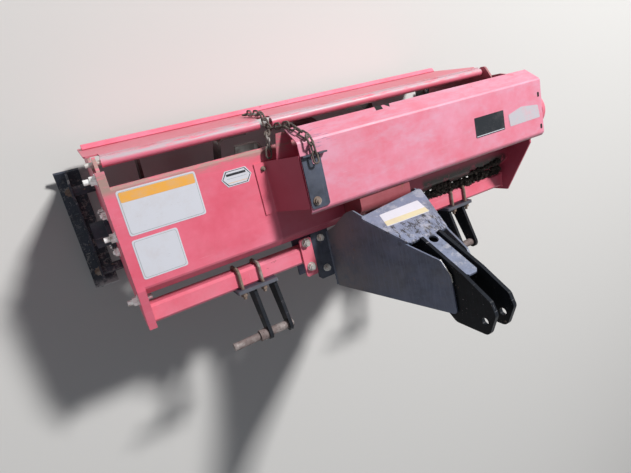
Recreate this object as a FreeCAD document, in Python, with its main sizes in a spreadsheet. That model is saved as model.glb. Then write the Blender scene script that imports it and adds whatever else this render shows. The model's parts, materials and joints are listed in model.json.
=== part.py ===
import FreeCAD, Part
import math
import os

from FreeCAD import Placement, Rotation, Vector

# Rotary tiller for a tractor's three-point hitch, in millimetres.
# X runs across the machine, Y towards its rear (the tractor is at -Y), Z up.
# The soles of the skid shoes stand on Z = 0, and the origin lies under the middle of the machine.

# Driving dimensions: name, value, what it is
SIZES = [
    # the frame: places along Y are measured from the middle of the front tube
    ("half_width", 660.0, "middle of the machine to the outer face of an end plate"),
    ("end_plate_wall", 6.0, "thickness of the end plates"),
    ("end_flange_width", 20.0, "inward flange along the top of the left end plate"),
    ("end_plate_low", 96.0, "lowest edge of the end plates"),
    ("end_slope_start", 76.0, "where the left end plate's top starts to slope down"),
    ("end_slope_rise", 4.0, "top of the left end plate at its front, above the tube"),
    ("end_plate_front", 37.0, "end plates ahead of the tube's middle"),
    ("end_plate_rear", 372.0, "rear top corner of the end plates"),
    ("tube_side", 50.0, "side of the square front tube"),
    ("tube_wall", 5.0, "wall of the square front tube"),
    ("tube_corner", 7.0, "outer corner radius of the front tube"),
    ("tube_top", 420.0, "height of the front tube's upper face"),
    ("deck_rise", 40.0, "deck above the front tube"),
    ("deck_wall", 4.0, "thickness of the deck"),
    ("deck_front", 81.0, "front fold of the deck"),
    ("deck_back", 333.0, "rear edge of the deck"),
    ("deck_lip_drop", 29.0, "how far the deck's front lip reaches down"),
    ("deck_rear_drop", 24.0, "how far the deck's rear lip reaches down"),
    # the rotor
    ("rotor_back", 203.0, "rotor axis behind the tube's middle"),
    ("rotor_height", 217.0, "rotor axis above the ground"),
    ("tine_reach", 200.0, "radius that the tines' tips sweep"),
    ("tine_thickness", 8.0, "thickness of a tine"),
    ("tine_side_reach", 88.0, "how far a tine's blade reaches beside its flange"),
    ("tine_bend", 14.0, "how far a tine's bend cuts its corner"),
    ("tine_root", 44.0, "radius at which a tine starts on its flange"),
    ("flange_radius", 78.0, "radius of the rotor flanges"),
    ("flange_wall", 8.0, "thickness of the rotor flanges"),
    ("flange_margin", 91.0, "outermost flange from the end of the rotor's tube"),
    ("rotor_tube_radius", 30.0, "radius of the rotor's tube"),
    ("rotor_end_gap", 18.0, "gap between the rotor's tube and the end plates"),
    ("stub_radius", 17.5, "radius of the rotor's stub axles"),
    ("stub_reach", 34.0, "stub axles beyond the end plates' outer faces"),
    ("axle_hole_radius", 34.0, "hole in the end plates round the stub axles"),
    ("running_gap", 0.05, "radial clearance of a shaft in its bearing"),
    # gear case, bearing and drive
    ("case_wall", 46.0, "width of the side gear case"),
    ("case_flange", 6.0, "flange of the side gear case against the end plate"),
    ("case_low_radius", 64.0, "lower round of the side gear case"),
    ("case_high_radius", 50.0, "upper round of the side gear case"),
    ("case_rim", 9.0, "how far the gear case's flange stands out"),
    ("drive_rise", 43.0, "drive axis above the deck"),
    ("drive_tube_radius", 36.0, "radius of the cross drive tube"),
    ("hub_radius", 60.0, "radius of the domed hub cap on the gear case"),
    ("hub_reach", 38.0, "how far the hub cap stands out"),
    ("hub_back", 229.0, "hub cap behind the tube's middle"),
    ("hub_lift", 5.0, "hub cap above the drive axis"),
    ("bearing_radius", 56.0, "flange radius of the left bearing"),
    ("bearing_wall", 12.0, "flange thickness of the left bearing"),
    ("bearing_boss_radius", 36.0, "boss radius of the left bearing"),
    ("bearing_boss_reach", 46.0, "how far the left bearing stands out"),
    ("gearbox_width", 176.0, "width of the centre gearbox"),
    ("gearbox_front", 92.0, "front face of the centre gearbox"),
    ("gearbox_depth", 190.0, "length of the centre gearbox"),
    ("gearbox_rise", 50.0, "top of the centre gearbox above the drive axis"),
    ("snout_radius", 40.0, "radius of the input boss"),
    ("snout_reach", 26.0, "how far the input boss stands ahead of the gearbox"),
    ("input_radius", 17.45, "outer radius of the splined input shaft"),
    ("input_root_radius", 14.8, "root radius of the input shaft's splines"),
    ("input_reach", 92.0, "length of the splined end"),
    ("input_seat", 60.0, "length of the input shaft inside the gearbox"),
    # the sheet cover over gearbox and drive tube
    ("cover_wall", 3.0, "thickness of the drive cover"),
    ("cover_rise", 64.0, "top of the drive cover above the drive axis"),
    ("cover_left", 207.0, "left end of the cover, left of the machine's middle"),
    ("cover_overhang", 52.0, "right end of the cover beyond the end plate"),
    ("cover_front", 144.0, "front edge of the cover"),
    ("cover_crease", 154.0, "front crease of the cover"),
    ("cover_fold", 330.0, "rear fold of the cover"),
    ("cover_slope_run", 37.0, "run of the cover's rear slope"),
    ("cover_drop", 52.0, "lower rear edge of the cover below its top"),
    ("cover_foot", 262.0, "foot of the cover's sloping left end on the deck"),
    ("cover_flange_end", 293.0, "left edge of the flange on the deck"),
    ("cover_end_front", 160.0, "front edge of the cover's left end"),
    ("cover_end_back", 298.0, "rear edge of the cover's left end"),
    ("skirt_rise", 12.0, "lower edge of the cover's right end above the deck"),
    # the hitch
    ("hitch_offset", 36.0, "middle of the hitch, right of the machine's middle"),
    ("arm_inner", 341.0, "inner hitch arm from the hitch's middle"),
    ("arm_outer", 404.0, "outer hitch arm from the hitch's middle"),
    ("arm_wall", 10.0, "thickness of the hitch arms"),
    ("arm_tip_radius", 20.0, "rounding of the arms' tips"),
    ("arm_base_depth", 60.0, "depth of the arms at their base"),
    ("arm_base_rise", 4.0, "top of the arms' base above the tube"),
    ("pin_ahead", 165.0, "lower hitch pins ahead of the tube's middle"),
    ("pin_rise", 30.0, "lower hitch pins above the front tube"),
    ("pin_stagger", 2.0, "how much further ahead the right pin sits"),
    ("pin_body_radius", 12.5, "radius of a hitch pin in its arms"),
    ("pin_collar_radius", 16.0, "radius of a hitch pin's collar"),
    ("pin_collar", 24.0, "length of a hitch pin's collar"),
    ("pin_free", 78.0, "length of a hitch pin's free end"),
    ("pin_stand", 6.0, "how far a hitch pin's closed end stands out of its arm"),
    ("pin_radius", 11.0, "radius of the hitch pins' free ends"),
    ("pin_gap", 0.25, "clearance of the hitch pins in their arms"),
    ("pad_inner_left", 335.0, "inner edge of the left mounting plate"),
    ("pad_outer_left", 456.0, "outer edge of the left mounting plate"),
    ("pad_inner_right", 326.0, "inner edge of the right mounting plate"),
    ("pad_outer_right", 440.0, "outer edge of the right mounting plate"),
    ("pad_wall", 10.0, "thickness of the arms' mounting plate"),
    ("pad_margin", 18.0, "how far the mounting plate stands past the tube"),
    ("ubolt_inner_left", 376.0, "inner U-bolt on the left, from the hitch's middle"),
    ("ubolt_outer_left", 437.0, "outer U-bolt on the left"),
    ("ubolt_inner_right", 360.0, "inner U-bolt on the right, from the hitch's middle"),
    ("ubolt_outer_right", 420.0, "outer U-bolt on the right"),
    ("ubolt_radius", 5.0, "radius of the U-bolts' rod"),
    ("ubolt_bend", 11.5, "bend radius of the U-bolts"),
    ("ubolt_thread", 20.0, "U-bolt ends ahead of the mounting plate"),
    ("seat_gap", 0.2, "gap between pieces that are only held together"),
    # the headstock
    ("foot_wall", 6.0, "thickness of the headstock's feet and straps"),
    ("foot_inner", 142.0, "inner edge of a foot from the hitch's middle"),
    ("foot_outer", 200.0, "outer edge of a foot"),
    ("foot_front", 89.0, "front edge of the feet"),
    ("foot_back", 89.0, "rear edge of the feet"),
    ("strap_gap", 1.0, "gap between a foot and its strap plate"),
    ("strap_width", 38.0, "width of the strap plates"),
    ("strap_front", 66.0, "front edge of the strap plates"),
    ("strap_back", 50.0, "rear edge of the strap plates"),
    ("bolt_hole_radius", 6.5, "holes for the half-inch bolts"),
    ("bolt_ahead", 37.0, "bolts ahead of and behind the tube's middle"),
    ("foot_bolt_ahead", 59.0, "front bolt of a foot ahead of the tube's middle"),
    ("clamp_front", 72.0, "front edge of the clamp plates under the tube"),
    ("clamp_back", 48.0, "rear edge of the clamp plates under the tube"),
    ("side_wall", 5.0, "thickness of the headstock's side panels"),
    ("side_top_half", 41.0, "side panels from the hitch's middle at their top"),
    ("side_rise", 392.0, "top of the side panels above the tube"),
    ("side_foot_back", 48.0, "rear end of the side panels' foot"),
    ("side_foot_front", 127.0, "front end of the side panels' foot"),
    ("side_front", 152.0, "front edge of the side panels at their top"),
    ("back_wall", 6.0, "thickness of the headstock's back plate"),
    ("back_edge_y", 103.0, "rear edge of the back plate"),
    ("back_edge_rise", 157.0, "rear edge of the back plate above the tube"),
    ("back_lean", 29.7, "lean of the back plate from upright, in degrees"),
    ("back_half_low", 119.0, "half width of the back plate at its rear edge"),
    ("back_skew", 15.0, "how far the rear edge of the back plate slants to each side"),
    ("back_half_high", 66.0, "half width of the back plate at its shoulder"),
    ("back_shoulder", 152.0, "shoulder of the back plate up its slope"),
    ("back_hole_rise", 168.0, "hole of the back plate up its slope"),
    ("tongue_half", 20.0, "half width of the tongue"),
    ("tongue_end", 306.0, "end of the tongue up the slope"),
    ("back_hole_radius", 13.0, "hole at the foot of the tongue"),
    ("mast_gap", 50.0, "gap between the mast's ears"),
    ("mast_wall", 10.0, "thickness of the mast's ears"),
    ("mast_pin_ahead", 146.0, "top link hole ahead of the tube's middle"),
    ("mast_height", 444.0, "top link hole above the lower hitch pins"),
    ("mast_pin_radius", 9.9, "radius of the top link hole"),
    # tail gate
    ("gate_axis_y", 391.0, "hinge axis behind the tube's middle"),
    ("gate_axis_drop", 69.0, "hinge axis below the deck"),
    ("gate_tube_radius", 12.5, "radius of the gate's hinge tube"),
    ("gate_end_gap", 10.0, "gap between the hinge tube and the hinge lugs"),
    ("gate_notch_middle", 205.0, "notch for the chain, left of the machine's middle"),
    ("gate_notch_half", 19.0, "half the width of the notch for the chain"),
    ("gate_wall", 4.0, "thickness of the gate"),
    ("gate_overhang", 8.0, "gate past the end plates' outer faces"),
    ("gate_height", 323.0, "length of the gate down its slope"),
    ("gate_shoulder", 46.0, "where the gate widens over the end plates"),
    ("gate_slope", 5.6, "slope of the gate at rest, in degrees"),
    ("gate_rib_height", 14.0, "height of the gate's stiffening rib"),
    ("gate_rib_width", 34.0, "width of the gate's stiffening rib"),
    ("gate_rib_edge", 61.0, "lower rib above the gate's lower edge"),
    ("gate_seat", 0.6, "gap between the gate and the end plates' rear edges"),
    ("hinge_pin_radius", 6.0, "radius of the hinge pins"),
    ("hinge_pin_depth", 40.0, "length of a hinge pin inside the hinge tube"),
    ("lug_radius", 16.0, "rounding of the hinge lugs"),
    ("lug_wall", 8.0, "thickness of the hinge lugs"),
    # skid shoes
    ("sole_edge", 30.0, "outer edge of the soles beyond the web"),
    ("skid_width", 70.0, "width of the soles"),
    ("sole_wall", 8.0, "thickness of the soles"),
    ("skid_front", 17.0, "front end of the soles, behind the tube's middle"),
    ("skid_back", 388.0, "rear end of the soles"),
    ("toe_rise", 46.0, "how far the toes turn up"),
    ("heel_rise", 40.0, "how far the heels turn up"),
    ("sole_bend", 60.0, "bend radius of toe and heel"),
    ("web_wall", 6.0, "thickness of the skids' upright web"),
    ("web_stand", 56.0, "web's inner face beyond the end plate"),
    ("web_height", 62.0, "height of the web between its posts"),
    ("post_height", 170.0, "height of the bolts that hold the skids"),
    ("post_front", 95.0, "front skid bolt behind the tube's middle"),
    ("post_back", 330.0, "rear skid bolt behind the tube's middle"),
    ("post_half", 24.0, "half the width of the web's posts"),
    ("spacer_radius", 13.0, "radius of the spacers between skid and end plate"),
    # chains and their bracket
    ("chain_wire", 5.5, "wire of the chain links"),
    ("chain_pitch", 24.0, "inner length of a chain link"),
    ("chain_inner_width", 9.0, "inner width of a chain link"),
    ("chain_play", 0.6, "play between neighbouring links"),
    ("bracket_wall", 4.0, "thickness of the chain's bracket"),
    ("bracket_width", 54.0, "width of the chain's bracket"),
    ("bracket_left", 207.0, "left edge of the bracket"),
    ("bracket_front", 158.0, "front edge of the bracket"),
    ("bracket_back", 296.0, "rear edge of the bracket"),
    ("bracket_slot_width", 10.0, "width of the bracket's chain slot"),
    ("bracket_rise", 12.0, "how far the bracket's rear end turns up"),
    ("gate_chain_links", 6, "links down the gate"),
]

# Sizes that follow from others: name, formula, what it is
DERIVED = [
    ("deck_top", "tube_top + deck_rise", "height of the deck"),
    ("inner_face", "half_width - end_plate_wall", "inner faces of the end plates"),
    ("end_slope_low", "tube_top + end_slope_rise", "front top of the left end plate"),
    ("rotor_tube_half", "inner_face - rotor_end_gap", "half the length of the rotor's tube"),
    ("flange_pitch", "(rotor_tube_half - flange_margin) * 2 / 5", "distance between flanges"),
    ("stub_end", "half_width + stub_reach", "ends of the stub axles"),
    ("drive_height", "deck_top + drive_rise", "height of the drive axis"),
    ("gearbox_top", "drive_height + gearbox_rise", "top of the centre gearbox"),
    ("cover_top", "drive_height + cover_rise", "top of the drive cover"),
    ("cover_back", "cover_fold + cover_slope_run", "lower rear edge of the cover"),
    ("cover_back_height", "cover_top - cover_drop", "height of the cover's rear edge"),
    ("cover_right", "half_width + cover_overhang", "right end of the drive cover"),
    ("cover_skirt_low", "deck_top + skirt_rise", "lower edge of the cover's right end"),
    ("pin_height", "tube_top + pin_rise", "height of the lower hitch pins"),
    ("side_top", "tube_top + side_rise", "where the side panels meet the mast"),
    ("back_edge_height", "tube_top + back_edge_rise", "height of the back plate's rear edge"),
    ("mast_pin_height", "pin_height + mast_height", "height of the top link hole"),
    ("gate_axis_height", "deck_top - gate_axis_drop", "height of the gate's hinge axis"),
    ("gate_tube_half", "inner_face - lug_wall - gate_end_gap", "half the hinge tube's length"),
    ("gate_half", "half_width + gate_overhang", "half the width of the gate"),
    ("gate_rib_place", "gate_height - gate_rib_edge", "rib's place down the slope"),
    ("web_place", "half_width + web_stand", "inner faces of the skids' webs"),
    ("skid_outer", "web_place + web_wall + sole_edge", "outer edges of the soles"),
]

TINE_COUNT = 4
FLANGE_COUNT = 6
SPLINE_COUNT = 6

document = FreeCAD.newDocument("rotary_tiller")
sheet = document.addObject("Spreadsheet::Sheet", "Sizes")
for row, (name, value, meaning) in enumerate(SIZES, start=1):
    sheet.set(f"A{row}", meaning)
    sheet.set(f"B{row}", str(value))
    sheet.setAlias(f"B{row}", name)
for row, (name, formula, meaning) in enumerate(DERIVED, start=len(SIZES) + 2):
    sheet.set(f"A{row}", meaning)
    sheet.set(f"B{row}", "=" + formula)
    sheet.setAlias(f"B{row}", name)
document.recompute()


class SheetValues:
    """The sheet's numbers by name."""


size = SheetValues()
for name, _value, _meaning in SIZES + DERIVED:
    setattr(size, name, float(sheet.get(name)))

# Places worked out from the sheet
TUBE_HALF = size.tube_side / 2
TUBE_LOW = size.tube_top - size.tube_side
ARM_TIP = size.pin_ahead + size.pin_stagger + size.arm_tip_radius
GATE_LEAN = math.radians(size.gate_slope)
GATE_REAR = (
    size.gate_axis_y
    + size.gate_tube_radius
    + size.gate_height * math.sin(GATE_LEAN)
    + size.gate_rib_height
)
MIDDLE = (GATE_REAR - ARM_TIP) / 2
FOOT_TOP = size.tube_top + size.foot_wall


def cell(name):
    """A sheet cell as an expression."""
    return "Sizes." + name


def arc_between(centre, radius, start, end):
    """An arc that runs counter-clockwise from the start angle to the end angle."""
    return Part.ArcOfCircle(Part.Circle(Vector(*centre, 0), Vector(0, 0, 1), radius), start, end)


SMALL_ROUND = 8.0


def closed_outline(corners):
    """Lines and arcs round corners (u, v) or (u, v, radius); small rounds are cut straight."""
    count = len(corners)
    spans = []
    for index, corner in enumerate(corners):
        here = Vector(corner[0], corner[1], 0)
        radius = corner[2] if len(corner) > 2 else 0
        before = Vector(*corners[index - 1][:2], 0)
        after = Vector(*corners[(index + 1) % count][:2], 0)
        if radius == 0:
            spans.append((here, here, None))
            continue
        back = (before - here).normalize()
        ahead = (after - here).normalize()
        half = back.getAngle(ahead) / 2
        if half > math.radians(89.5):
            spans.append((here, here, None))
            continue
        cut = radius / math.tan(half)
        centre = here + (back + ahead).normalize() * (radius / math.sin(half))
        first = here + back * cut
        last = here + ahead * cut
        if radius <= SMALL_ROUND:
            spans.append((first, last, Part.LineSegment(first, last)))
            continue
        angles = [math.atan2(p.y - centre.y, p.x - centre.x) for p in (first, last)]
        if (angles[1] - angles[0]) % (2 * math.pi) > math.pi:
            angles.reverse()
        if angles[1] < angles[0]:
            angles[1] += 2 * math.pi
        spans.append((first, last, arc_between((centre.x, centre.y), radius, *angles)))
    edges = []
    for index, (first, last, arc) in enumerate(spans):
        if arc:
            edges.append(arc)
        following = spans[(index + 1) % count][0]
        if (following - last).Length > 1e-6:
            edges.append(Part.LineSegment(last, following))
    return edges


def tapered_arm(base_low, base_high, centre, radius):
    """A base edge joined by two tangents to a round tip ahead of it."""
    middle = Vector(*centre, 0)
    tangents = []
    for base, hand in ((base_low, -1), (base_high, 1)):
        corner = Vector(*base, 0)
        away = corner - middle
        spread = math.acos(radius / away.Length)
        angle = math.atan2(away.y, away.x) + hand * spread
        tangents.append((corner, angle, middle + Vector(math.cos(angle), math.sin(angle), 0) * radius))
    low, high = tangents
    start, end = high[1], low[1]
    while end < start:
        end += 2 * math.pi
    return [
        Part.LineSegment(low[0], high[0]),
        Part.LineSegment(high[0], high[2]),
        arc_between(centre, radius, start, end),
        Part.LineSegment(low[2], low[0]),
    ]


def bent_strip(path, wall, bend):
    """The outline of a sheet bent along a path: the wall lies to the left of the path."""
    points = [Vector(u, v, 0) for u, v in path]
    ways = [(b - a).normalize() for a, b in zip(points, points[1:])]
    lefts = [Vector(-way.y, way.x, 0) for way in ways]
    near = [(points[0].x, points[0].y)]
    far = [(points[0] + lefts[0] * wall)]
    far = [(far[0].x, far[0].y)]
    for index in range(1, len(points) - 1):
        turn = ways[index - 1].cross(ways[index]).z
        miter = (lefts[index - 1] + lefts[index]).normalize()
        offset = points[index] + miter * (wall / miter.dot(lefts[index]))
        inner, outer = bend, bend + wall
        near.append((points[index].x, points[index].y, outer if turn > 0 else inner))
        far.append((offset.x, offset.y, inner if turn > 0 else outer))
    near.append((points[-1].x, points[-1].y))
    last = points[-1] + lefts[-1] * wall
    far.append((last.x, last.y))
    return closed_outline(near + far[::-1])


def box_outline(low_u, low_v, high_u, high_v, radius=0):
    """A rectangle, with rounded corners where a radius is given."""
    corners = [(low_u, low_v), (high_u, low_v), (high_u, high_v), (low_u, high_v)]
    return closed_outline([(u, v, radius) for u, v in corners] if radius else corners)


def hole(centre, radius):
    return [Part.Circle(Vector(*centre, 0), Vector(0, 0, 1), radius)]


def eight_sided(centre, radius):
    """An outline of eight sides round a radius, for flanges and for holes that fasteners cover."""
    u, v = centre
    reach = radius / math.cos(math.pi / 8)
    corners = []
    for number in range(8):
        angle = math.pi / 8 + number * math.pi / 4
        corners.append((u + reach * math.cos(angle), v + reach * math.sin(angle)))
    return closed_outline(corners)


PLANES = {"front": "XZ_Plane", "side": "YZ_Plane", "floor": "XY_Plane"}


def new_body(label):
    body = document.addObject("PartDesign::Body", label)
    body.Label = label
    return body


def add_pad(body, plane, edges, length, lift=None):
    """Pad a sketch on one of the body's planes: side pads go to +X, front to -Y, floor to +Z."""
    number = len([o for o in body.Group if o.TypeId == "Sketcher::SketchObject"]) + 1
    sketch = body.newObject("Sketcher::SketchObject", f"{body.Label}_outline{number}")
    features = body.Origin.OriginFeatures
    origin_plane = [f for f in features if f.Role == PLANES[plane]][0]
    sketch.AttachmentSupport = [(origin_plane, "")]
    sketch.MapMode = "FlatFace"
    if lift:
        sketch.setExpression("AttachmentOffset.Base.z", lift)
    sketch.addGeometry(edges, False)
    pad = body.newObject("PartDesign::Pad", f"{body.Label}_pad{number}")
    pad.Profile = sketch
    pad.setExpression("Length", length)
    body.Tip = pad
    return pad


def place(piece, x="0", y="0", z="0", turn=None):
    """Put a piece where three expressions say, turned by an axis and an angle."""
    if turn:
        piece.Placement = Placement(Vector(0, 0, 0), Rotation(Vector(*turn[0]), turn[1]))
    for way, formula in (("x", x), ("y", y), ("z", z)):
        piece.setExpression(f"Placement.Base.{way}", formula)
    return piece


def plate(label, plane, edges, length, x="0", y="0", z="0", turn=None):
    """A flat piece: one padded outline at its place."""
    body = new_body(label)
    add_pad(body, plane, edges, length)
    return place(body, x, y, z, turn)


def cylinder(name, radius, height, x, y, z, axis):
    """A cylinder from a point along an axis, with its sizes bound to the sheet."""
    turns = {"x": ((0, 1, 0), 90), "y": ((1, 0, 0), -90), "z": ((0, 0, 1), 0)}
    piece = document.addObject("Part::Cylinder", name)
    piece.setExpression("Radius", radius)
    piece.setExpression("Height", height)
    return place(piece, x, y, z, turns[axis])


def fused(label, pieces):
    joined = document.addObject("Part::MultiFuse", label)
    joined.Shapes = pieces
    joined.Label = label
    joined.Refine = False
    return joined


def cut(label, whole, tool):
    result = document.addObject("Part::Cut", label)
    result.Base = whole
    result.Tool = tool
    result.Label = label
    return result


def shaped(label, shape):
    """A piece whose shape is worked out here, where no other object type fits it."""
    piece = document.addObject("Part::Feature", label)
    piece.Shape = shape
    piece.Label = label
    return piece


PARTS = []
Y_SHIFT = f"{-MIDDLE}"


def keep(piece):
    """List a finished sub-part."""
    PARTS.append(piece)
    return piece


def side_name(side):
    return "left" if side < 0 else "right"


# The front tube, a square hollow section between the end plates
tube = new_body("front_tube")
add_pad(
    tube,
    "side",
    box_outline(-TUBE_HALF, TUBE_LOW, TUBE_HALF, size.tube_top, size.tube_corner)
    + box_outline(
        -TUBE_HALF + size.tube_wall,
        TUBE_LOW + size.tube_wall,
        TUBE_HALF - size.tube_wall,
        size.tube_top - size.tube_wall,
        size.tube_corner - size.tube_wall,
    ),
    f"2 * ({cell('half_width')} - {cell('end_plate_wall')})",
)
keep(place(tube, f"{cell('end_plate_wall')} - {cell('half_width')}", Y_SHIFT))


# The deck, one sheet with a lip folded down along its front and rear
def deck_path():
    """From the lower edge of the front lip, up and back to the rear lip."""
    return [
        (size.deck_front - 22, size.deck_top - size.deck_lip_drop),
        (size.deck_front, size.deck_top),
        (size.deck_back, size.deck_top),
        (size.deck_back, size.deck_top - size.deck_rear_drop),
    ]


deck = plate(
    "deck",
    "side",
    bent_strip(deck_path()[::-1], size.deck_wall, 3.0),
    f"2 * {cell('half_width')} - 2 * {cell('end_plate_wall')} "
    f"- {cell('end_flange_width')} + {cell('end_plate_wall')}",
    x=f"{cell('end_flange_width')} - {cell('half_width')}",
    y=Y_SHIFT,
)
keep(deck)


# The end plates: their rear edges follow the closed gate
def gate_face(height):
    """The place of the closed gate's inner face at a height."""
    return (
        size.gate_axis_y
        + size.gate_tube_radius
        + (size.gate_axis_height - height) * math.tan(GATE_LEAN)
    )


def end_plate_corners():
    """The edges that both end plates share, from the lower front corner to the rear top."""
    low = size.end_plate_low
    notch = size.gate_axis_height - size.gate_shoulder
    return [
        (-size.end_plate_front, TUBE_LOW - 8, 12),
        (60, low + 60, 40),
        (130, low, 30),
        (330, low, 30),
        (gate_face(low + 40) - size.gate_seat, low + 40, 12),
        (gate_face(notch) - size.gate_seat, notch, 6),
        (size.end_plate_rear, size.gate_axis_height + 12),
        (size.end_plate_rear, size.deck_top),
    ]


AXLE_HOLE = hole((size.rotor_back, size.rotor_height), size.axle_hole_radius)

left_end = new_body("end_plate_left")
add_pad(
    left_end,
    "side",
    closed_outline(
        end_plate_corners()
        + [
            (size.end_slope_start, size.deck_top),
            (-size.end_plate_front, size.end_slope_low),
        ]
    )
    + AXLE_HOLE,
    cell("end_plate_wall"),
)
add_pad(
    left_end,
    "side",
    bent_strip(
        [
            (size.end_plate_rear, size.deck_top),
            (size.end_slope_start, size.deck_top),
            (-size.end_plate_front, size.end_slope_low),
        ],
        size.end_plate_wall,
        3.0,
    ),
    cell("end_flange_width"),
)
keep(place(left_end, f"-{cell('half_width')}", Y_SHIFT))

# The right end plate rises under the cover, where it carries the drive
COVER_UNDER = size.cover_top - size.cover_wall
right_top = [
    (size.cover_back - 6, size.cover_back_height - 8),
    (size.cover_fold - 6, COVER_UNDER - 4),
    (size.cover_crease + 6, COVER_UNDER - 4),
    (size.cover_crease + 6, size.cover_top - 14),
    (size.cover_front - 14, size.cover_top - 14),
    (-size.end_plate_front, size.tube_top + 22),
]
right_end = plate(
    "end_plate_right",
    "side",
    closed_outline(end_plate_corners() + right_top) + AXLE_HOLE,
    cell("end_plate_wall"),
    x=f"{cell('half_width')} - {cell('end_plate_wall')}",
    y=Y_SHIFT,
)
keep(right_end)

# The cover: a folded sheet with a chamfered back, open below
cover_path = [
    (size.cover_back, size.cover_back_height),
    (size.cover_fold, size.cover_top),
    (size.cover_crease, size.cover_top),
    (size.cover_front, size.cover_top - 9),
]
keep(
    plate(
        "drive_cover",
        "side",
        bent_strip(cover_path, size.cover_wall, 4.0),
        f"{cell('cover_left')} + {cell('cover_right')}",
        x=f"-{cell('cover_left')}",
        y=Y_SHIFT,
    )
)

# Its left end slopes down to a flange on the deck, and a tab closes the chamfer's corner
end_panel = new_body("cover_end_panel")
FLANGE_LEVEL = size.deck_top + size.seat_gap
add_pad(
    end_panel,
    "front",
    bent_strip(
        [
            (-size.cover_flange_end, FLANGE_LEVEL),
            (-size.cover_foot, FLANGE_LEVEL),
            (-size.cover_left - 1, COVER_UNDER - 1),
        ],
        size.cover_wall,
        3.0,
    ),
    f"{cell('cover_end_back')} - {cell('cover_end_front')}",
    lift=f"-{cell('cover_end_back')}",
)
keep(place(end_panel, "0", Y_SHIFT))
keep(
    plate(
        "cover_corner_tab",
        "floor",
        closed_outline(
            [
                (-size.cover_left - 36, size.cover_end_back + size.seat_gap),
                (-size.cover_left + 16, size.cover_end_back + size.seat_gap),
                (-size.cover_left + 16, size.cover_back - 5),
                (-size.cover_left - 22, size.cover_back - 5),
            ]
        ),
        cell("cover_wall"),
        y=Y_SHIFT,
        z=f"{cell('cover_back_height')} - 14",
    )
)

# Its right end closes over the gear case and has a hole for the hub cap
skirt_corners = [
    (size.cover_front + 4, size.cover_skirt_low),
    (size.cover_back - 6, size.cover_skirt_low),
    (size.cover_back - 6, size.cover_back_height - 6),
    (size.cover_fold - 3, COVER_UNDER - size.seat_gap),
    (size.cover_crease + 6, COVER_UNDER - size.seat_gap),
    (size.cover_front + 4, size.cover_top - 16),
]
keep(
    plate(
        "cover_right_end",
        "side",
        closed_outline(skirt_corners)
        + hole((size.rotor_back, size.drive_height), 4),
        cell("cover_wall"),
        x=f"{cell('cover_right')} - {cell('cover_wall')}",
        y=Y_SHIFT,
    )
)


# The side gear case: a tall rounded housing with a flange against the end plate
def case_outline(extra):
    """Two rounds joined by straight sides."""
    low = size.case_low_radius + extra
    high = size.case_high_radius + extra
    rise = size.drive_height - size.rotor_height
    lean = math.asin((low - high) / rise)
    centre_low = (size.rotor_back, size.rotor_height)
    centre_high = (size.rotor_back, size.drive_height)
    ends = []
    for centre, radius in ((centre_low, low), (centre_high, high)):
        for hand in (1, -1):
            angle = lean if hand > 0 else math.pi - lean
            ends.append(
                Vector(centre[0] + radius * math.cos(angle), centre[1] + radius * math.sin(angle), 0)
            )
    return [
        arc_between(centre_low, low, math.pi - lean, 2 * math.pi + lean),
        Part.LineSegment(ends[0], ends[2]),
        arc_between(centre_high, high, lean, math.pi - lean),
        Part.LineSegment(ends[3], ends[1]),
    ]


case_body = new_body("side_gear_case_body")
add_pad(case_body, "side", case_outline(size.case_rim), cell("case_flange"))
add_pad(
    case_body,
    "side",
    case_outline(0),
    f"{cell('case_wall')} - {cell('cover_wall')} - {cell('seat_gap')}",
    lift=cell("case_flange"),
)
place(case_body, cell("half_width"), Y_SHIFT)
case_bore = cylinder(
    "side_gear_case_bore",
    f"{cell('stub_radius')} + {cell('running_gap')}",
    f"{cell('stub_end')} - {cell('half_width')} + 3",
    cell("half_width"),
    f"{cell('rotor_back')} - {MIDDLE}",
    cell("rotor_height"),
    "x",
)
keep(cut("side_gear_case", case_body, case_bore))

# The domed hub cap over the gear case's upper bearing
DOME_STEPS = [(1.0, 0.0), (1.0, 0.38), (0.66, 0.86), (0.0, 1.0)]
dome_points = [(0.0, 0.0)]
dome_points += [(size.hub_reach * out, size.hub_radius * share) for share, out in DOME_STEPS]
dome = new_body("hub_cap")
dome_sketch = dome.newObject("Sketcher::SketchObject", "hub_cap_profile")
dome_sketch.AttachmentSupport = [
    ([f for f in dome.Origin.OriginFeatures if f.Role == "XZ_Plane"][0], "")
]
dome_sketch.MapMode = "FlatFace"
dome_sketch.addGeometry(
    [
        Part.LineSegment(Vector(*start, 0), Vector(*end, 0))
        for start, end in zip(dome_points, dome_points[1:] + dome_points[:1])
    ],
    False,
)
dome_turn = dome.newObject("PartDesign::Revolution", "hub_cap_turned")
dome_turn.Profile = dome_sketch
dome_turn.ReferenceAxis = (dome_sketch, ["H_Axis"])
dome_turn.Angle = 360
dome.Tip = dome_turn
keep(
    place(
        dome,
        cell("cover_right"),
        f"{cell('hub_back')} - {MIDDLE}",
        f"{cell('drive_height')} + {cell('hub_lift')}",
    )
)

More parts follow.
